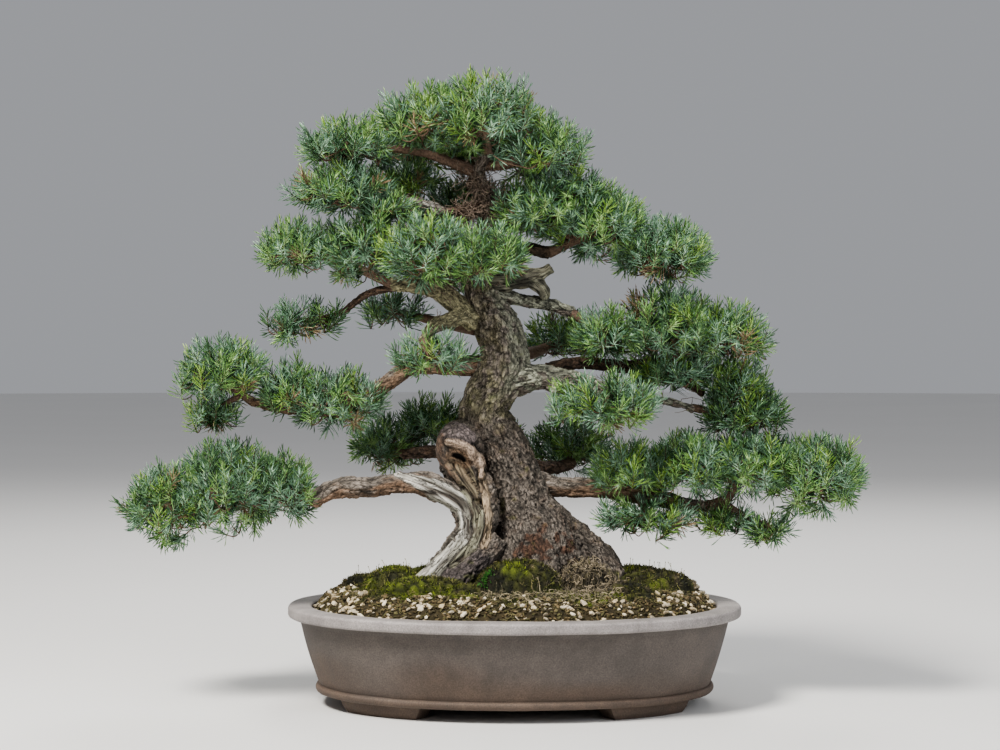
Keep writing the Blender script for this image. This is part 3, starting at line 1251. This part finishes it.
def build_limb(limb, material):
    """A bough with its own bark relief, or bare fibres where it is dead."""
    seed = 100 + len(limb.name) * 7 + limb.sides
    widest = max(station[3] for station in limb.tubes[0])
    parts = [limb_tube(route, 28) for route in limb.tubes]
    item = melted(limb.name + "_bark", parts, 0.85 + 0.02 * widest, material)
    points, normals = places_and_normals(item)
    local, _ = LimbSpace(limb.tubes).local(points)
    if limb.kind == "dead":
        stretch = 9.0
        bare = np.ones(len(points))
        height, light = dead_relief(local, seed)
        height = 0.8 * height + 1.5 * noise(points / 7.0, seed + 7)
        colour = 0.8 * dead_colour(light, local, np.ones(len(local), dtype=int))
        colour = colour * (0.3 + 0.7 * ramp(noise(points / 7.0, seed + 8), -0.4, 0.3))[:, None]
    else:
        stretch = 2.6
        bare = np.zeros(len(points))
        sinew = grain_noise(local, 0.45 * widest, 42.0, seed + 6)
        height, light = bark_relief(local, 3.0 + 0.2 * widest, seed)
        light = np.clip(light + 0.18 * sinew, 0, 1)
        height = height * (0.5 + 0.05 * widest) + 0.09 * widest * sinew
        if limb.kind in ("lichen", "olive"):
            height = height + 1.1 * noise(points / 7.0, seed + 9)
        colour = limb_colour(limb.kind, light, points, normals, local, seed)
    height = height + 0.1 * widest * noise(points / 10.0, seed + 5)
    if limb.name == "bough_left_low":
        inside, stream, which, _ = stream_space(points)
        bare = ramp(inside + 1.5 * noise(points / 6.0, 40), -1.0, 1.0)
        wood_height, wood_light = dead_relief(stream, 50)
        height = height * (1 - bare) + 0.7 * wood_height * bare
        colour = mixed(colour, dead_colour(wood_light, stream, which), bare)
        local = np.where(bare[:, None] > 0.5, stream * np.array((1, 1, stretch / 9)), local)
    move_vertices(item, points + height[:, None] * normals)
    give_colours(item, colour, bare)
    give_vectors(item, "grain", local / np.array((1, 1, stretch)))
    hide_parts(limb.name)


# Soil, moss and grit

def soil_height(x, y):
    """Height of the mound with its cushions, before small relief, and the half-length of the pot's
    oval through each place."""
    low = np.zeros_like(x)
    high = np.full_like(x, 260.0)
    for _ in range(22):
        half = (low + high) / 2
        depth = np.maximum(half - OVAL_STEP, 1e-3)
        inside = (np.abs(x) / half) ** OVAL_POWER + (np.abs(y) / depth) ** OVAL_POWER < 1
        high = np.where(inside, half, high)
        low = np.where(inside, low, half)
    height = np.interp(high, *zip(*SOIL_PROFILE))
    for cx, cy, cz, rx, ry, rz in MOSS_CUSHIONS:
        share = 1 - ((x - cx) / rx) ** 2 - ((y - cy) / ry) ** 2
        dome = cz + rz * np.sqrt(np.clip(share, 0, 1))
        height = np.where(share > 0, np.maximum(height, dome), height)
    return height, high


def ground_normals(places):
    """Which way the mound's surface faces at places on it."""
    x, y = places[:, 0], places[:, 1]
    here, beside, behind = (soil_height(x + dx, y + dy)[0] for dx, dy in ((0, 0), (1, 0), (0, 1)))
    return unit(np.stack((np.clip(here - beside, -3, 3), np.clip(here - behind, -3, 3),
                          np.ones(len(x))), axis=-1))


def is_mossy(x, y, oval):
    """1 on moss, 0 on the grit between moss and rim."""
    points = np.stack((x / 22, y / 22, np.zeros_like(x)), axis=-1)
    return ramp(MOSS_REACH - oval + 10 * noise(points, 70) + 9 * noise(points * 3, 71), 0, 6)


def moss_tint(points):
    """Bright, olive and dark patches of moss, with dry ones by the trunk's right foot and here
    and there."""
    patch = noise(points / 24.0, 80)
    small = noise(points / 8.0, 81)
    colour = mixed(MOSS["olive"], MOSS["bright"], ramp(patch + 0.5 * small, -0.2, 0.5))
    colour = mixed(colour, MOSS["dark"], ramp(-patch + 0.8 * small, 0.15, 0.75))
    dry_place = how_far_out(points, (74, -60, 130), (32, 40, 30))
    dry = np.maximum(ramp(-dry_place + 0.3 * small, -1.1, -0.7), ramp(-small - 0.3 * patch, 0.45, 0.8))
    return mixed(colour, 0.6 * MOSS["straw"], 0.8 * dry)


def moss_cushions(points):
    """How far inside its small cushion each place on the moss lies."""
    level = points * np.array((1, 1, 0))
    return cells_of(level / 9.5 + 0.35 * noise_vectors(level / 13.0, 76), 78)[0]


def mound_ring(half, angles):
    """One turn of the mound; the turns in its middle are rounder than the pot's."""
    ring = oval_points(half, angles, 0.0)
    if half <= OVAL_STEP + 1:
        ring[:, 1] = half * MOUND_ROUNDNESS * np.sin(angles)
    elif half < 150:
        ring[:, 1] *= max(half - OVAL_STEP, half * MOUND_ROUNDNESS) / (half - OVAL_STEP)
    return ring


def build_soil(material):
    """The mound's skin with its moss relief, closed down to the pot's floor."""
    segments, inner, outer = ((420, 110, 50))
    rings = np.concatenate([np.linspace(3, 150, inner), np.linspace(151.5, MOUND_EDGE, outer)])
    angles = math.tau * np.arange(segments) / segments
    skin = np.concatenate([mound_ring(half, angles) for half in rings[::-1]])
    skin[:, 2], oval = soil_height(skin[:, 0], skin[:, 1])
    moss = is_mossy(skin[:, 0], skin[:, 1], oval)
    lumps = 2.4 * ramp(moss_cushions(skin), 0.0, 0.5) - 2.2
    lumps += 0.9 * noise(skin / 12.0, 72) + 0.6 * noise(skin / 3.4, 73) + 0.5 * noise(skin / 1.9, 74)
    skin[:, 2] += (moss * lumps + (1 - moss) * (0.3 * lumps - 0.8)) * ramp(MOUND_EDGE - oval, 0, 6)
    walls = [oval_points(half, angles, z) for half, z in
             ((FLOOR_HALF_LENGTH - 0.3, FLOOR_HEIGHT + 0.3), (FLOOR_HALF_LENGTH + 8.7, FLOOR_HEIGHT + 5.3),
              (RIM_INNER - 0.3, SOIL_EDGE - 1))]
    ends = [(0, 0, FLOOR_HEIGHT + 0.3), (0, 0, GROUND)]
    vertices = np.concatenate([*walls, skin, ends])
    item = new_piece("soil_mound", vertices, lofted_faces(len(walls) + len(rings), segments), [material])
    colour = moss_tint(vertices) * (0.2 + 0.8 * ramp(moss_cushions(vertices), 0.0, 0.45))[:, None]
    _, oval = soil_height(vertices[:, 0], vertices[:, 1])
    bare = 1 - is_mossy(vertices[:, 0], vertices[:, 1], oval)
    earth = MOSS["earth"] * (0.7 + 0.5 * noise(vertices / 3.0, 75))[:, None]
    give_colours(item, mixed(colour, earth, bare))
    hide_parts("soil")


def scattered(chance, count, accept):
    """Random places on the mound that pass a test of (x, y, oval, chance)."""
    found = []
    total = 0
    while total < count:
        x = chance.uniform(-201, 201, 4 * count)
        y = chance.uniform(-151, 151, 4 * count)
        height, oval = soil_height(x, y)
        keep = (oval < 200) & accept(x, y, oval, chance)
        found.append(np.stack((x, y, height), axis=-1)[keep])
        total += int(keep.sum())
    return np.concatenate(found)[:count]


def on_grit(x, y, oval, chance):
    return is_mossy(x, y, oval) < chance.uniform(0.05, 1.0, len(x))


def on_moss(x, y, oval, chance):
    return is_mossy(x, y, oval) > 0.5


def on_leafy(x, y, oval, chance):
    """On moss, and the likelier the steeper the ground."""
    steep = 1 / ground_normals(np.stack((x, y), axis=-1))[:, 2]
    return (is_mossy(x, y, oval) > 0.4) & (chance.uniform(0, 4, len(x)) < steep)


def in_tangle(x, y, oval, chance):
    """By the trunk's right foot."""
    return ((x - 72) / 38) ** 2 + ((y + 68) / 38) ** 2 < chance.uniform(0.0, 1.1, len(x))


def in_front(x, y, oval, chance):
    """On the level ground in front of the trunk."""
    near = ((x - 30) / 80) ** 2 + ((y + 110) / 20) ** 2 < chance.uniform(0.1, 1.1, len(x))
    return near & (ground_normals(np.stack((x, y), axis=-1))[:, 2] > 0.85)


def at_sides(x, y, oval, chance):
    return (is_mossy(x, y, oval) > 0.5) & (np.abs(x) > 70)


# Dry strands: (how many, where, lengths, height over the ground, radius, colour)
STRANDS = (
    (430, in_tangle, (6, 18), 6.5, 0.42, (0.25, 0.205, 0.14)),
    (420, in_front, (6, 14), 3.2, 0.38, (0.26, 0.22, 0.14)),
    (700, on_moss, (3, 9), 2.4, 0.32, (0.20, 0.17, 0.07)),
    (1300, on_grit, (4, 9), 1.6, 0.42, (0.135, 0.115, 0.048)),
)


def thinned(count):
    return count


def grain_shapes(chance, lump, size):
    """Copies of one lump, each squashed, dented, turned about the upright and tilted."""
    count = len(size)
    squash = chance.uniform((0.75, 0.75, 0.5), (1.5, 1.5, 0.85), (count, 1, 3))
    bumps = chance.uniform(0.68, 1.2, (count, len(lump), 1))
    turn = chance.uniform(0, math.tau, count)
    c, s, zero, one = np.cos(turn), np.sin(turn), np.zeros(count), np.ones(count)
    spin = np.array(((c, -s, zero), (s, c, zero), (zero, zero, one))).transpose(2, 0, 1)
    tilt = chance.normal(0, 0.35, (count, 2))
    shapes = np.einsum("nij,nvj->nvi", spin, lump[None] * squash * bumps) * size[:, None, None]
    shapes[:, :, 2] += tilt[:, :1] * shapes[:, :, 0] + tilt[:, 1:] * shapes[:, :, 1]
    return shapes


def build_grit(material):
    """Small stones and clay grains, each a rough lump of twenty faces."""
    mesh_data = bmesh.new()
    bmesh.ops.create_icosphere(mesh_data, subdivisions=1, radius=1.0)
    lump = np.array([vertex.co for vertex in mesh_data.verts])
    faces = [[vertex.index for vertex in face.verts] for face in mesh_data.faces]
    mesh_data.free()
    chance = np.random.RandomState(11)
    places = scattered(chance, GRIT_GRAINS, on_grit)
    count = len(places)
    pale = chance.uniform(size=count) < PALE_SHARE
    size = np.where(pale, chance.uniform(1.4, 3.3, count), chance.uniform(0.9, 2.0, count))
    shapes = grain_shapes(chance, lump, size)
    lift = chance.uniform(-0.5, 0.7, count) * size - 0.4
    vertices, triangles = faced(shapes + places[:, None] + lift[:, None, None] * UP, faces)
    pick = chance.randint(0, 4, count)
    colour = np.where(pale[:, None], np.array(CREAMS)[pick], np.array(BROWNS)[pick])
    colour = colour * chance.uniform(0.7, 1.2, (count, 1))
    item = new_piece("soil_grit", vertices, triangles, [material], smooth=False)
    give_colours(item, np.repeat(colour, len(lump), axis=0))


def blades(places, directions, lengths, widths):
    """Small pointed blades of three faces and a base."""
    side = unit(np.cross(directions, np.array((0.3, 0.9, 0.1))))
    other = np.cross(directions, side)
    tips = places + directions * lengths[:, None]
    corners = [places + widths[:, None] * (math.cos(a) * side + math.sin(a) * other)
               for a in (0, math.tau / 3, 2 * math.tau / 3)]
    return faced(np.stack(corners + [tips], axis=1), ((0, 1, 3), (1, 2, 3), (2, 0, 3), (2, 1, 0)))


def curly_paths(starts, headings, lengths, curl, chance):
    """Paths whose heading wanders as they grow."""
    places = [starts]
    for _ in range(STRAND_STEPS - 1):
        headings = unit(headings + curl * chance.normal(0, 1, headings.shape))
        places.append(places[-1] + headings * lengths[:, None] / (STRAND_STEPS - 1))
    return np.stack(places, axis=1)


def moss_leaves(chance):
    """The moss's own tiny leaves, with their colours."""
    places = scattered(chance, thinned(MOSS_LEAVES), on_leafy)
    slope = ground_normals(places)
    places = places - 0.9 * slope
    directions = unit(slope + 0.3 * UP + chance.normal(0, 0.5, (len(places), 3)))
    lengths = chance.uniform(1.6, 4.0, len(places))
    part = blades(places, directions, lengths, chance.uniform(0.45, 0.8, len(places)))
    strength = np.clip(chance.lognormal(-0.2, 0.75, (len(places), 1)), 0.15, 3.2)
    return part, moss_tint(places) * strength


def bright_tuft(chance):
    tuft = chance.normal(TUFT_PLACE, (3.2, 2.5, 0), (TUFT_LEAVES, 3))
    tuft[:, 2] = soil_height(tuft[:, 0], tuft[:, 1])[0]
    directions = unit(ground_normals(tuft) + chance.normal(0, 0.4, tuft.shape))
    lengths = chance.uniform(2.0, 4.2, TUFT_LEAVES)
    part = blades(tuft, directions, lengths, chance.uniform(0.6, 1.0, TUFT_LEAVES))
    return part, MOSS["tuft"] * chance.uniform(0.4, 1.4, (TUFT_LEAVES, 1))


def lying_strands(chance, count, accept, reach, lift, radius, colour):
    """Dry stems that curl on and over the ground."""
    starts = scattered(chance, count, accept)
    slope = ground_normals(starts)
    headings = unit(np.cross(slope, chance.normal(0, 1, starts.shape)) + 0.35 * slope)
    path = curly_paths(starts, headings, chance.uniform(*reach, count), 0.95, chance)
    _, oval = soil_height(path[:, :, 0], path[:, :, 1])
    path[:, :, :2] *= np.minimum(1.0, 198.0 / np.maximum(oval, 1.0))[:, :, None]
    ground, _ = soil_height(path[:, :, 0], path[:, :, 1])
    path[:, :, 2] = np.clip(path[:, :, 2], ground + 0.2, ground + lift)
    part = many_tubes(path, np.linspace(radius, 0.55 * radius, STRAND_STEPS), 3)
    return part, np.array(colour) * chance.uniform(0.12, 1.5, (count, 1))


def moss_stalks(chance):
    """Upright stalks at the sides, each with a thicker end."""
    starts = scattered(chance, STALKS, at_sides)
    lengths = chance.uniform(4, 10, STALKS)
    path = curly_paths(starts, np.tile(UP, (STALKS, 1)), lengths, 0.12, chance)
    return many_tubes(path, STALK_RADII, 3), MOSS["stalk"] * chance.uniform(0.6, 1.4, (STALKS, 1))


def build_moss(material):
    """Moss leaves, and the dry strands and stalks that stand out of them."""
    chance = np.random.RandomState(12)
    grown = [moss_leaves(chance), bright_tuft(chance)]
    grown += [lying_strands(chance, thinned(count), *rest) for count, *rest in STRANDS]
    grown.append(moss_stalks(chance))
    vertices, triangles = joined([part for part, _ in grown])
    item = new_piece("moss_strands", vertices, triangles, [material], smooth=False)
    give_colours(item, np.concatenate([np.repeat(tint, len(part[0]) // len(tint), axis=0)
                                       for part, tint in grown]))


# Foliage

class Space:
    """Shares the crown out among the masses, and knows the limbs and stems that run through it."""

    def __init__(self):
        rows = [(index, lobe) for index, mass in enumerate(MASSES) for lobe in mass.lobes]
        self.owners = np.array([index for index, _ in rows])
        self.lobes = np.array([lobe for _, lobe in rows], dtype=float)
        routes = [(-1, route) for route in (TRUNK_TUBE, *ROOT_TUBES)]
        routes += [(-1, route) for limb in LIMBS for route in limb.tubes]
        routes += [(index, route) for index, mass in enumerate(MASSES) for route in mass.stems]
        curves = [smooth_curve(route, CURVE_STEPS) for _, route in routes]
        self.wood = np.vstack(curves)
        self.wood_owners = np.repeat([owner for owner, _ in routes], [len(curve) for curve in curves])

    def depth(self, points, chosen):
        """How far out points lie in the nearest of the chosen lobes: 0 in its middle, 1 on it."""
        away = points[:, None, :] - self.lobes[None, chosen, :3]
        size = np.repeat(self.lobes[None, chosen, 3:6], len(points), axis=0)
        size[:, :, 2] = np.where(away[:, :, 2] > 0, size[:, :, 2], self.lobes[chosen, 6])
        return np.linalg.norm(away / size, axis=2).min(axis=1)

    def is_own(self, points, index):
        """Whether points lie deeper in a mass's own lobes than in all others."""
        return self.depth(points, self.owners == index) < self.depth(points, self.owners != index)

    def clears_wood(self, points, index):
        """Whether points keep clear of all wood but the mass's own stems."""
        others = self.wood[self.wood_owners != index]
        away = np.linalg.norm(points[:, None, :] - others[None, :, :3], axis=2) - others[:, 3]
        return np.all(away > WOOD_CLEARANCE, axis=1)


def lobe_points(lobe, directions, shares):
    """Points at shares of the way from a lobe's middle to its surface."""
    x, y, z, long, deep, up, down = lobe
    high = np.where(directions[:, 2] > 0, up, down)
    size = np.stack((np.full(len(high), long), np.full(len(high), deep), high), axis=-1)
    return np.array((x, y, z)) + shares[:, None] * directions * size


def lobe_area(lobe):
    """Surface of a lobe, by the usual rule of thumb for ellipsoids."""
    _, _, _, long, deep, up, down = lobe
    high = (up + down) / 2
    mean = sum(pair ** 1.6 for pair in (long * deep, long * high, deep * high)) / 3
    return 4 * math.pi * mean ** (1 / 1.6)


def shell_directions(count, turn):
    """Directions spread evenly over a ball."""
    index = np.arange(count)
    z = 1 - 2 * (index + 0.5) / count
    flat = np.sqrt(1 - z * z)
    angle = turn + index * GOLDEN_ANGLE
    return np.stack((flat * np.cos(angle), flat * np.sin(angle), z), axis=-1)


def shell_of_shoots(lobe, count, is_inner, index, space, chance):
    """Shoots whose tips stand on one shell of a lobe; what they are is said in shoots_of."""
    middle = np.array(lobe[:3])
    directions = shell_directions(count, chance.uniform(0, math.tau))
    directions = unit(directions + chance.normal(0, 0.06, directions.shape))
    shares = chance.uniform(*(INNER_REACH if is_inner else OUTER_REACH), count)
    leads = chance.uniform(size=count) < LEADER_SHARE
    if not is_inner:
        shares += LUMP_DEPTH * noise(directions * 2.4 + middle, 95)
        shares += leads * chance.uniform(*LEADER_REACH, count)
    under = (directions[:, 2] < -0.2) & (chance.uniform(size=count) < UNDER_BARE)
    shares *= np.where(under, BARE_REACH, 1.0)
    tips = lobe_points(lobe, directions, shares)
    outward = unit(tips - middle)
    tips = tips - SHOOT_INSET * outward - SHOOT_DROP * UP
    rise = RISE * ramp(directions[:, 2:], -0.6, 0.2)
    headings = unit(0.70 * outward + rise * UP + chance.normal(0, 0.30, (count, 3)))
    lengths = chance.uniform(*SHOOT_LENGTH, count) + 4.0 * leads
    starts = tips - headings * lengths[:, None]
    keep = space.is_own(tips, index) & space.clears_wood(tips, index)
    buried = space.depth(tips, space.owners == index)
    keep &= (buried > (INNER_DEPTH if is_inner else OUTER_DEPTH)) | under
    keep &= ~((directions[:, 2] < -0.55) & (chance.uniform(size=count) < UNDER_LEFT_OUT))
    inners = np.full(count, is_inner)
    return [rows[keep] for rows in (starts, headings, lengths, directions[:, 2], inners, under)]


def shoots_of(mass, index, space, chance):
    """Where shoots start, which way they point, how long they are, how high on their lobe they
    stand, which ones lie deep inside it, and which ones on its under side have lost their needles."""
    area = SHOOT_AREA if mass.dense else SPARSE_SHOOT_AREA
    shells = []
    for lobe in mass.lobes:
        outer = max(10, round(lobe_area(lobe) / area))
        for count, is_inner in ((outer, False), (round(outer * INNER_SHARE), True)):
            shells.append(shell_of_shoots(lobe, count, is_inner, index, space, chance))
    return [np.concatenate(rows) for rows in zip(*shells)]


def grow_twigs(mass, starts, headings):
    """Joins each shoot to the nearest wood that already grows, nearest first, and gives each twig's
    path, and its radii from the number of shoots that it carries."""
    grown = np.vstack([smooth_curve(route, CURVE_STEPS) for route in mass.stems])[:, :3]
    owners = np.full(len(grown), -1)
    away = np.linalg.norm(starts[:, None] - grown[None], axis=2)
    nearest = np.argmin(away, axis=1)
    distance = away.min(axis=1)
    waiting = np.ones(len(starts), dtype=bool)
    paths = np.zeros((len(starts), TWIG_STATIONS, 3))
    parents = []
    shares = np.linspace(0, 1, TWIG_STATIONS)
    for _ in range(len(starts)):
        index = int(np.argmin(np.where(waiting, distance, np.inf)))
        waiting[index] = False
        root = grown[nearest[index]]
        parents.append((index, owners[nearest[index]]))
        reach = starts[index] - root
        length = np.linalg.norm(reach)
        pull = 0.3 * length * headings[index]
        curve = root + shares[:, None] * reach - (shares * (1 - shares))[:, None] * pull * 1.6
        curve[:, 2] -= 0.10 * length * np.sin(math.pi * shares)
        paths[index] = curve
        away = np.linalg.norm(starts[:, None] - curve[None, 1:], axis=2)
        closest = away.min(axis=1)
        nearest = np.where(closest < distance, len(grown) + np.argmin(away, axis=1), nearest)
        distance = np.minimum(closest, distance)
        grown = np.vstack([grown, curve[1:]])
        owners = np.concatenate([owners, np.full(TWIG_STATIONS - 1, index)])
    carried = np.ones(len(starts))
    for index, parent in reversed(parents):
        if parent >= 0:
            carried[parent] += carried[index]
    root = TWIG_RADIUS * carried ** TWIG_GROWTH
    tip = TWIG_RADIUS * np.maximum(1.0, carried * 0.6) ** TWIG_GROWTH
    return paths, root[:, None] + (tip - root)[:, None] * shares


def along_shoots(starts, headings, lengths, share):
    """Places at a share of each shoot's length; it bends up towards its tip."""
    lengths = lengths[:, None]
    return starts + headings * (lengths * share) + SHOOT_LIFT * UP * lengths * share * share


def needle_sides(heading, axis):
    """Ways to a needle's flat upper side, which faces the shoot, and to its right."""
    upper = unit(axis - heading * np.sum(axis * heading, axis=-1, keepdims=True))
    return upper, np.cross(heading, upper)


def inner_needle_points(base, heading, axis, length):
    """A thin pyramid, for a needle deep in the crown: three corners at its foot, and the tip."""
    upper, side = needle_sides(heading, axis)
    half = INNER_WIDTH / 2
    return np.stack((base - half * side, base + half * side, base - half * upper,
                     base + length * heading), axis=1)


def needle_points(base, heading, axis, length):
    """Left, right and keel at the foot, left and right at the bend, and the tip; the flat side
    faces the shoot, and the needle bends towards the shoot's tip."""
    upper, side = needle_sides(heading, axis)
    half = NEEDLE_WIDTH / 2
    bend = base + NEEDLE_BEND * length * unit(heading - 0.06 * upper)
    tip = bend + (1 - NEEDLE_BEND) * length * unit(heading + 0.35 * upper)
    return np.stack((base - half * side, base + half * side, base - half * upper,
                     bend - half * side, bend + half * side, tip), axis=1)


def needles_on(starts, headings, lengths, families, inners, chance):
    """Needles in whorls along each shoot, as vertices, triangles and material slots."""
    outer, inner = [], []
    for whorl in range(int(lengths.max() / WHORL_STEP) + 1):
        share = (whorl + 0.3) * WHORL_STEP / lengths
        here = share < 1.0
        deep = inners[here]
        share = share[here][:, None]
        base = along_shoots(starts[here], headings[here], lengths[here], share)
        axis = unit(headings[here] + 2 * (SHOOT_LIFT * UP) * share)
        across = unit(np.cross(axis, np.array((0.37, 0.21, 0.9))))
        third = np.cross(axis, across)
        opening = NEEDLE_BASE_ANGLE + (NEEDLE_TIP_ANGLE - NEEDLE_BASE_ANGLE) * share[:, 0] ** 1.3
        size = NEEDLE_LENGTH * (1.05 - 0.3 * share[:, 0] ** 2)
        for needle in range(NEEDLES_IN_WHORL):
            count = len(base)
            turn = math.tau * needle / NEEDLES_IN_WHORL + whorl * math.pi / NEEDLES_IN_WHORL
            turn = (turn + chance.normal(0, 0.4, count))[:, None]
            radial = np.cos(turn) * across + np.sin(turn) * third
            angle = np.radians(opening + chance.normal(0, 14, count))[:, None]
            heading = unit(np.cos(angle) * axis + np.sin(angle) * radial)
            length = (size * chance.uniform(0.65, 1.15, count))[:, None]
            other = chance.randint(0, 3, count)
            slot = 2 * np.where(chance.uniform(size=count) < OTHER_COLOUR_SHARE, other, families[here])
            outer.append((needle_points(base, heading, axis, length)[~deep], slot[~deep]))
            inner.append((inner_needle_points(base, heading, axis, length)[deep], slot[deep]))
    points, slots = (np.concatenate(rows) for rows in zip(*outer))
    deep_points, deep_slots = (np.concatenate(rows) for rows in zip(*inner))
    slots = slots[:, None] + np.array(UPPER_FACES)
    return (joined([faced(points, NEEDLE_FACES), faced(deep_points, INNER_FACES)]),
            np.concatenate([slots.ravel(), np.repeat(deep_slots, len(INNER_FACES))]))


def needle_families(mass, tops, inners, chance):
    """A colour for each shoot: fresher on top, dry underneath, dark inside."""
    shares = np.where(inners[:, None], np.array(INNER_SHARES), np.array(NEEDLE_SHARES))
    shares[:, 3] *= np.where(tops > 0.35, 1.5, 0.6)
    shares[:, 4] *= np.where(tops < -0.2, 3.0, 0.5)
    for piece, number, factor in MASS_COLOURS:
        if mass.piece == piece:
            shares[:, number] *= factor
    shares /= shares.sum(axis=1, keepdims=True)
    pick = chance.uniform(size=(len(tops), 1))
    return (pick > np.cumsum(shares, axis=1)).sum(axis=1).clip(0, len(NEEDLE_COLOURS) - 1)


def build_foliage(needle_materials, twig_materials):
    """Needles and twigs of every mass, each kind joined into a few pieces."""
    space = Space()
    groups = defaultdict(lambda: defaultdict(list))
    for index, mass in enumerate(MASSES):
        chance = np.random.RandomState(500 + index)
        starts, headings, lengths, tops, inners, bare = shoots_of(mass, index, space, chance)
        paths, radii = grow_twigs(mass, starts, headings)
        families = needle_families(mass, tops, inners, chance)
        leafy = [rows[~bare] for rows in (starts, headings, lengths, families, inners)]
        needles, slots = needles_on(*leafy, chance)
        axes = np.stack([along_shoots(starts, headings, lengths, share)
                         for share in (0.0, 0.5, 0.97)], axis=1)
        group = groups[mass.piece]
        group["nodes"].append(mass.name)
        group["needles"].append(needles)
        group["slots"].append(slots)
        group["twigs"] += [many_tubes(paths, radii, 4), many_tubes(axes, SHOOT_RADII, 3)]
        for route in mass.stems:
            rows = smooth_curve(route, CURVE_STEPS)
            bumps = 0.35 * noise(rows[:, :3] / 6.0, 90 + index)
            group["stems"].append(many_tubes(rows[None, :, :3], rows[:, 3] + bumps, 9))
    for name, group in groups.items():
        needles = new_piece("needles_" + name, *joined(group["needles"]), needle_materials,
                            np.concatenate(group["slots"]), smooth=False)
        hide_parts(*group["nodes"])
        stem_count = sum(len(triangles) for _, triangles in group["stems"])
        vertices, triangles = joined(group["stems"] + group["twigs"])
        slots = (np.arange(len(triangles)) >= stem_count).astype(int)
        twigs = new_piece("twigs_" + name, vertices, triangles, twig_materials, slots)


def build_dead_twigs(material):
    """Fine dead twigs that still stand on the trunk and boughs, curled and without needles."""
    chance = np.random.RandomState(21)
    routes = [TRUNK_TUBE]
    routes += [route for limb in LIMBS for route in limb.tubes]
    routes += [route for mass in MASSES for route in mass.stems]
    wood = np.vstack([smooth_curve(route, CURVE_STEPS) for route in routes])
    parts = []
    for x, y, z, wide, count, length in DEAD_TWIGS:
        count = thinned(count)
        ends = np.array((x, y, z)) + chance.normal(0, wide, (count, 3))
        away = np.linalg.norm(ends[:, None] - wood[None, :, :3], axis=2) - wood[:, 3]
        nearest = wood[np.argmin(away, axis=1)]
        outward = unit(ends - nearest[:, :3])
        starts = nearest[:, :3] + 0.85 * nearest[:, 3:] * outward
        headings = unit(outward + chance.normal(0, 0.35, (count, 3)))
        path = curly_paths(starts, headings, length * chance.uniform(0.5, 1.2, count), 0.5, chance)
        parts.append(many_tubes(path, np.linspace(0.5, 0.22, STRAND_STEPS), 3))
    twigs = new_piece("twigs_dead", *joined(parts), [material])


# Stage, light and camera

def build_stage():
    """A plain pale floor."""
    material, tree, shader = plain_material("pale_floor", 0.85)
    cloud = noise_texture(tree, object_place(tree), 1.2, 2.0)
    feed(tree, blended(tree, cloud, *FLOOR_COLOURS), shader.inputs["Base Color"])
    mesh_data = bmesh.new()
    bmesh.ops.create_circle(mesh_data, cap_ends=True, radius=FLOOR_RADIUS, segments=96)
    mesh = bpy.data.meshes.new("floor")
    mesh_data.to_mesh(mesh)
    mesh_data.free()
    floor = bpy.data.objects.new("floor", mesh)
    floor.data.materials.append(material)
    bpy.context.scene.collection.objects.link(floor)


def build_light():
    """Soft light from a pale sky and three round lamps."""
    world = bpy.data.worlds.new("studio")
    world.use_nodes = True
    background = world.node_tree.nodes["Background"]
    background.inputs["Color"].default_value = WORLD_COLOUR
    background.inputs["Strength"].default_value = WORLD_STRENGTH
    bpy.context.scene.world = world
    bpy.context.scene.view_settings.look = "AgX - Medium High Contrast"
    for name, place, height, size, power, colour in LIGHTS:
        light = bpy.data.lights.new(name, "AREA")
        light.shape = "DISK"
        light.size = size
        light.energy = power
        light.color = colour
        item = bpy.data.objects.new(name, light)
        item.location = place
        item.rotation_euler = (Vector((0, 0, height)) - Vector(place)).to_track_quat("-Z", "Y").to_euler()
        bpy.context.scene.collection.objects.link(item)


def build_camera():
    data = bpy.data.cameras.new("camera")
    data.lens = CAMERA_LENS
    data.sensor_width = CAMERA_SENSOR
    camera = bpy.data.objects.new("camera", data)
    camera.location = Vector((np.array(CAMERA_PLACE) + PLANT_SHIFT) * MM)
    camera.rotation_euler = (math.pi / 2 + CAMERA_PITCH, 0.0, 0.0)
    bpy.context.scene.collection.objects.link(camera)
    bpy.context.scene.camera = camera


def main():
    clay = stoneware_material()
    build_pot(clay)
    for name, side_x, side_y in (("foot_front_left", -1, -1), ("foot_front_right", 1, -1),
                                 ("foot_back_left", -1, 1), ("foot_back_right", 1, 1)):
        build_foot(name, side_x, side_y, clay)
    build_soil(earth_material("moss_and_earth", 0.95, 500.0, 0.0012))
    build_grit(earth_material("grit", 0.85, 900.0, 0.0003))
    build_moss(earth_material("moss_leaves", 0.8, 300.0, 0.0001))
    bark = wood_material("bark_relief", 0.85, 0.0009)
    build_trunk(bark)
    for limb in LIMBS:
        build_limb(limb, bark)
    needle_materials = []
    for name, under, upper in NEEDLE_COLOURS:
        needle_materials.append(leaf_material(f"needle_{name}", under, 0.5))
        needle_materials.append(leaf_material(f"needle_{name}_bloom", upper, 0.6))
    twig_materials = [
        twig_material("stem_bark", (0.045, 0.028, 0.020), (0.24, 0.155, 0.11), 420.0),
        twig_material("twig_bark", (0.060, 0.034, 0.022), (0.26, 0.165, 0.11), 900.0),
    ]
    build_foliage(needle_materials, twig_materials)
    build_dead_twigs(twig_material("dead_twig", (0.09, 0.065, 0.05), (0.34, 0.26, 0.20), 700.0))
    build_stage()
    build_light()
    build_camera()


main()
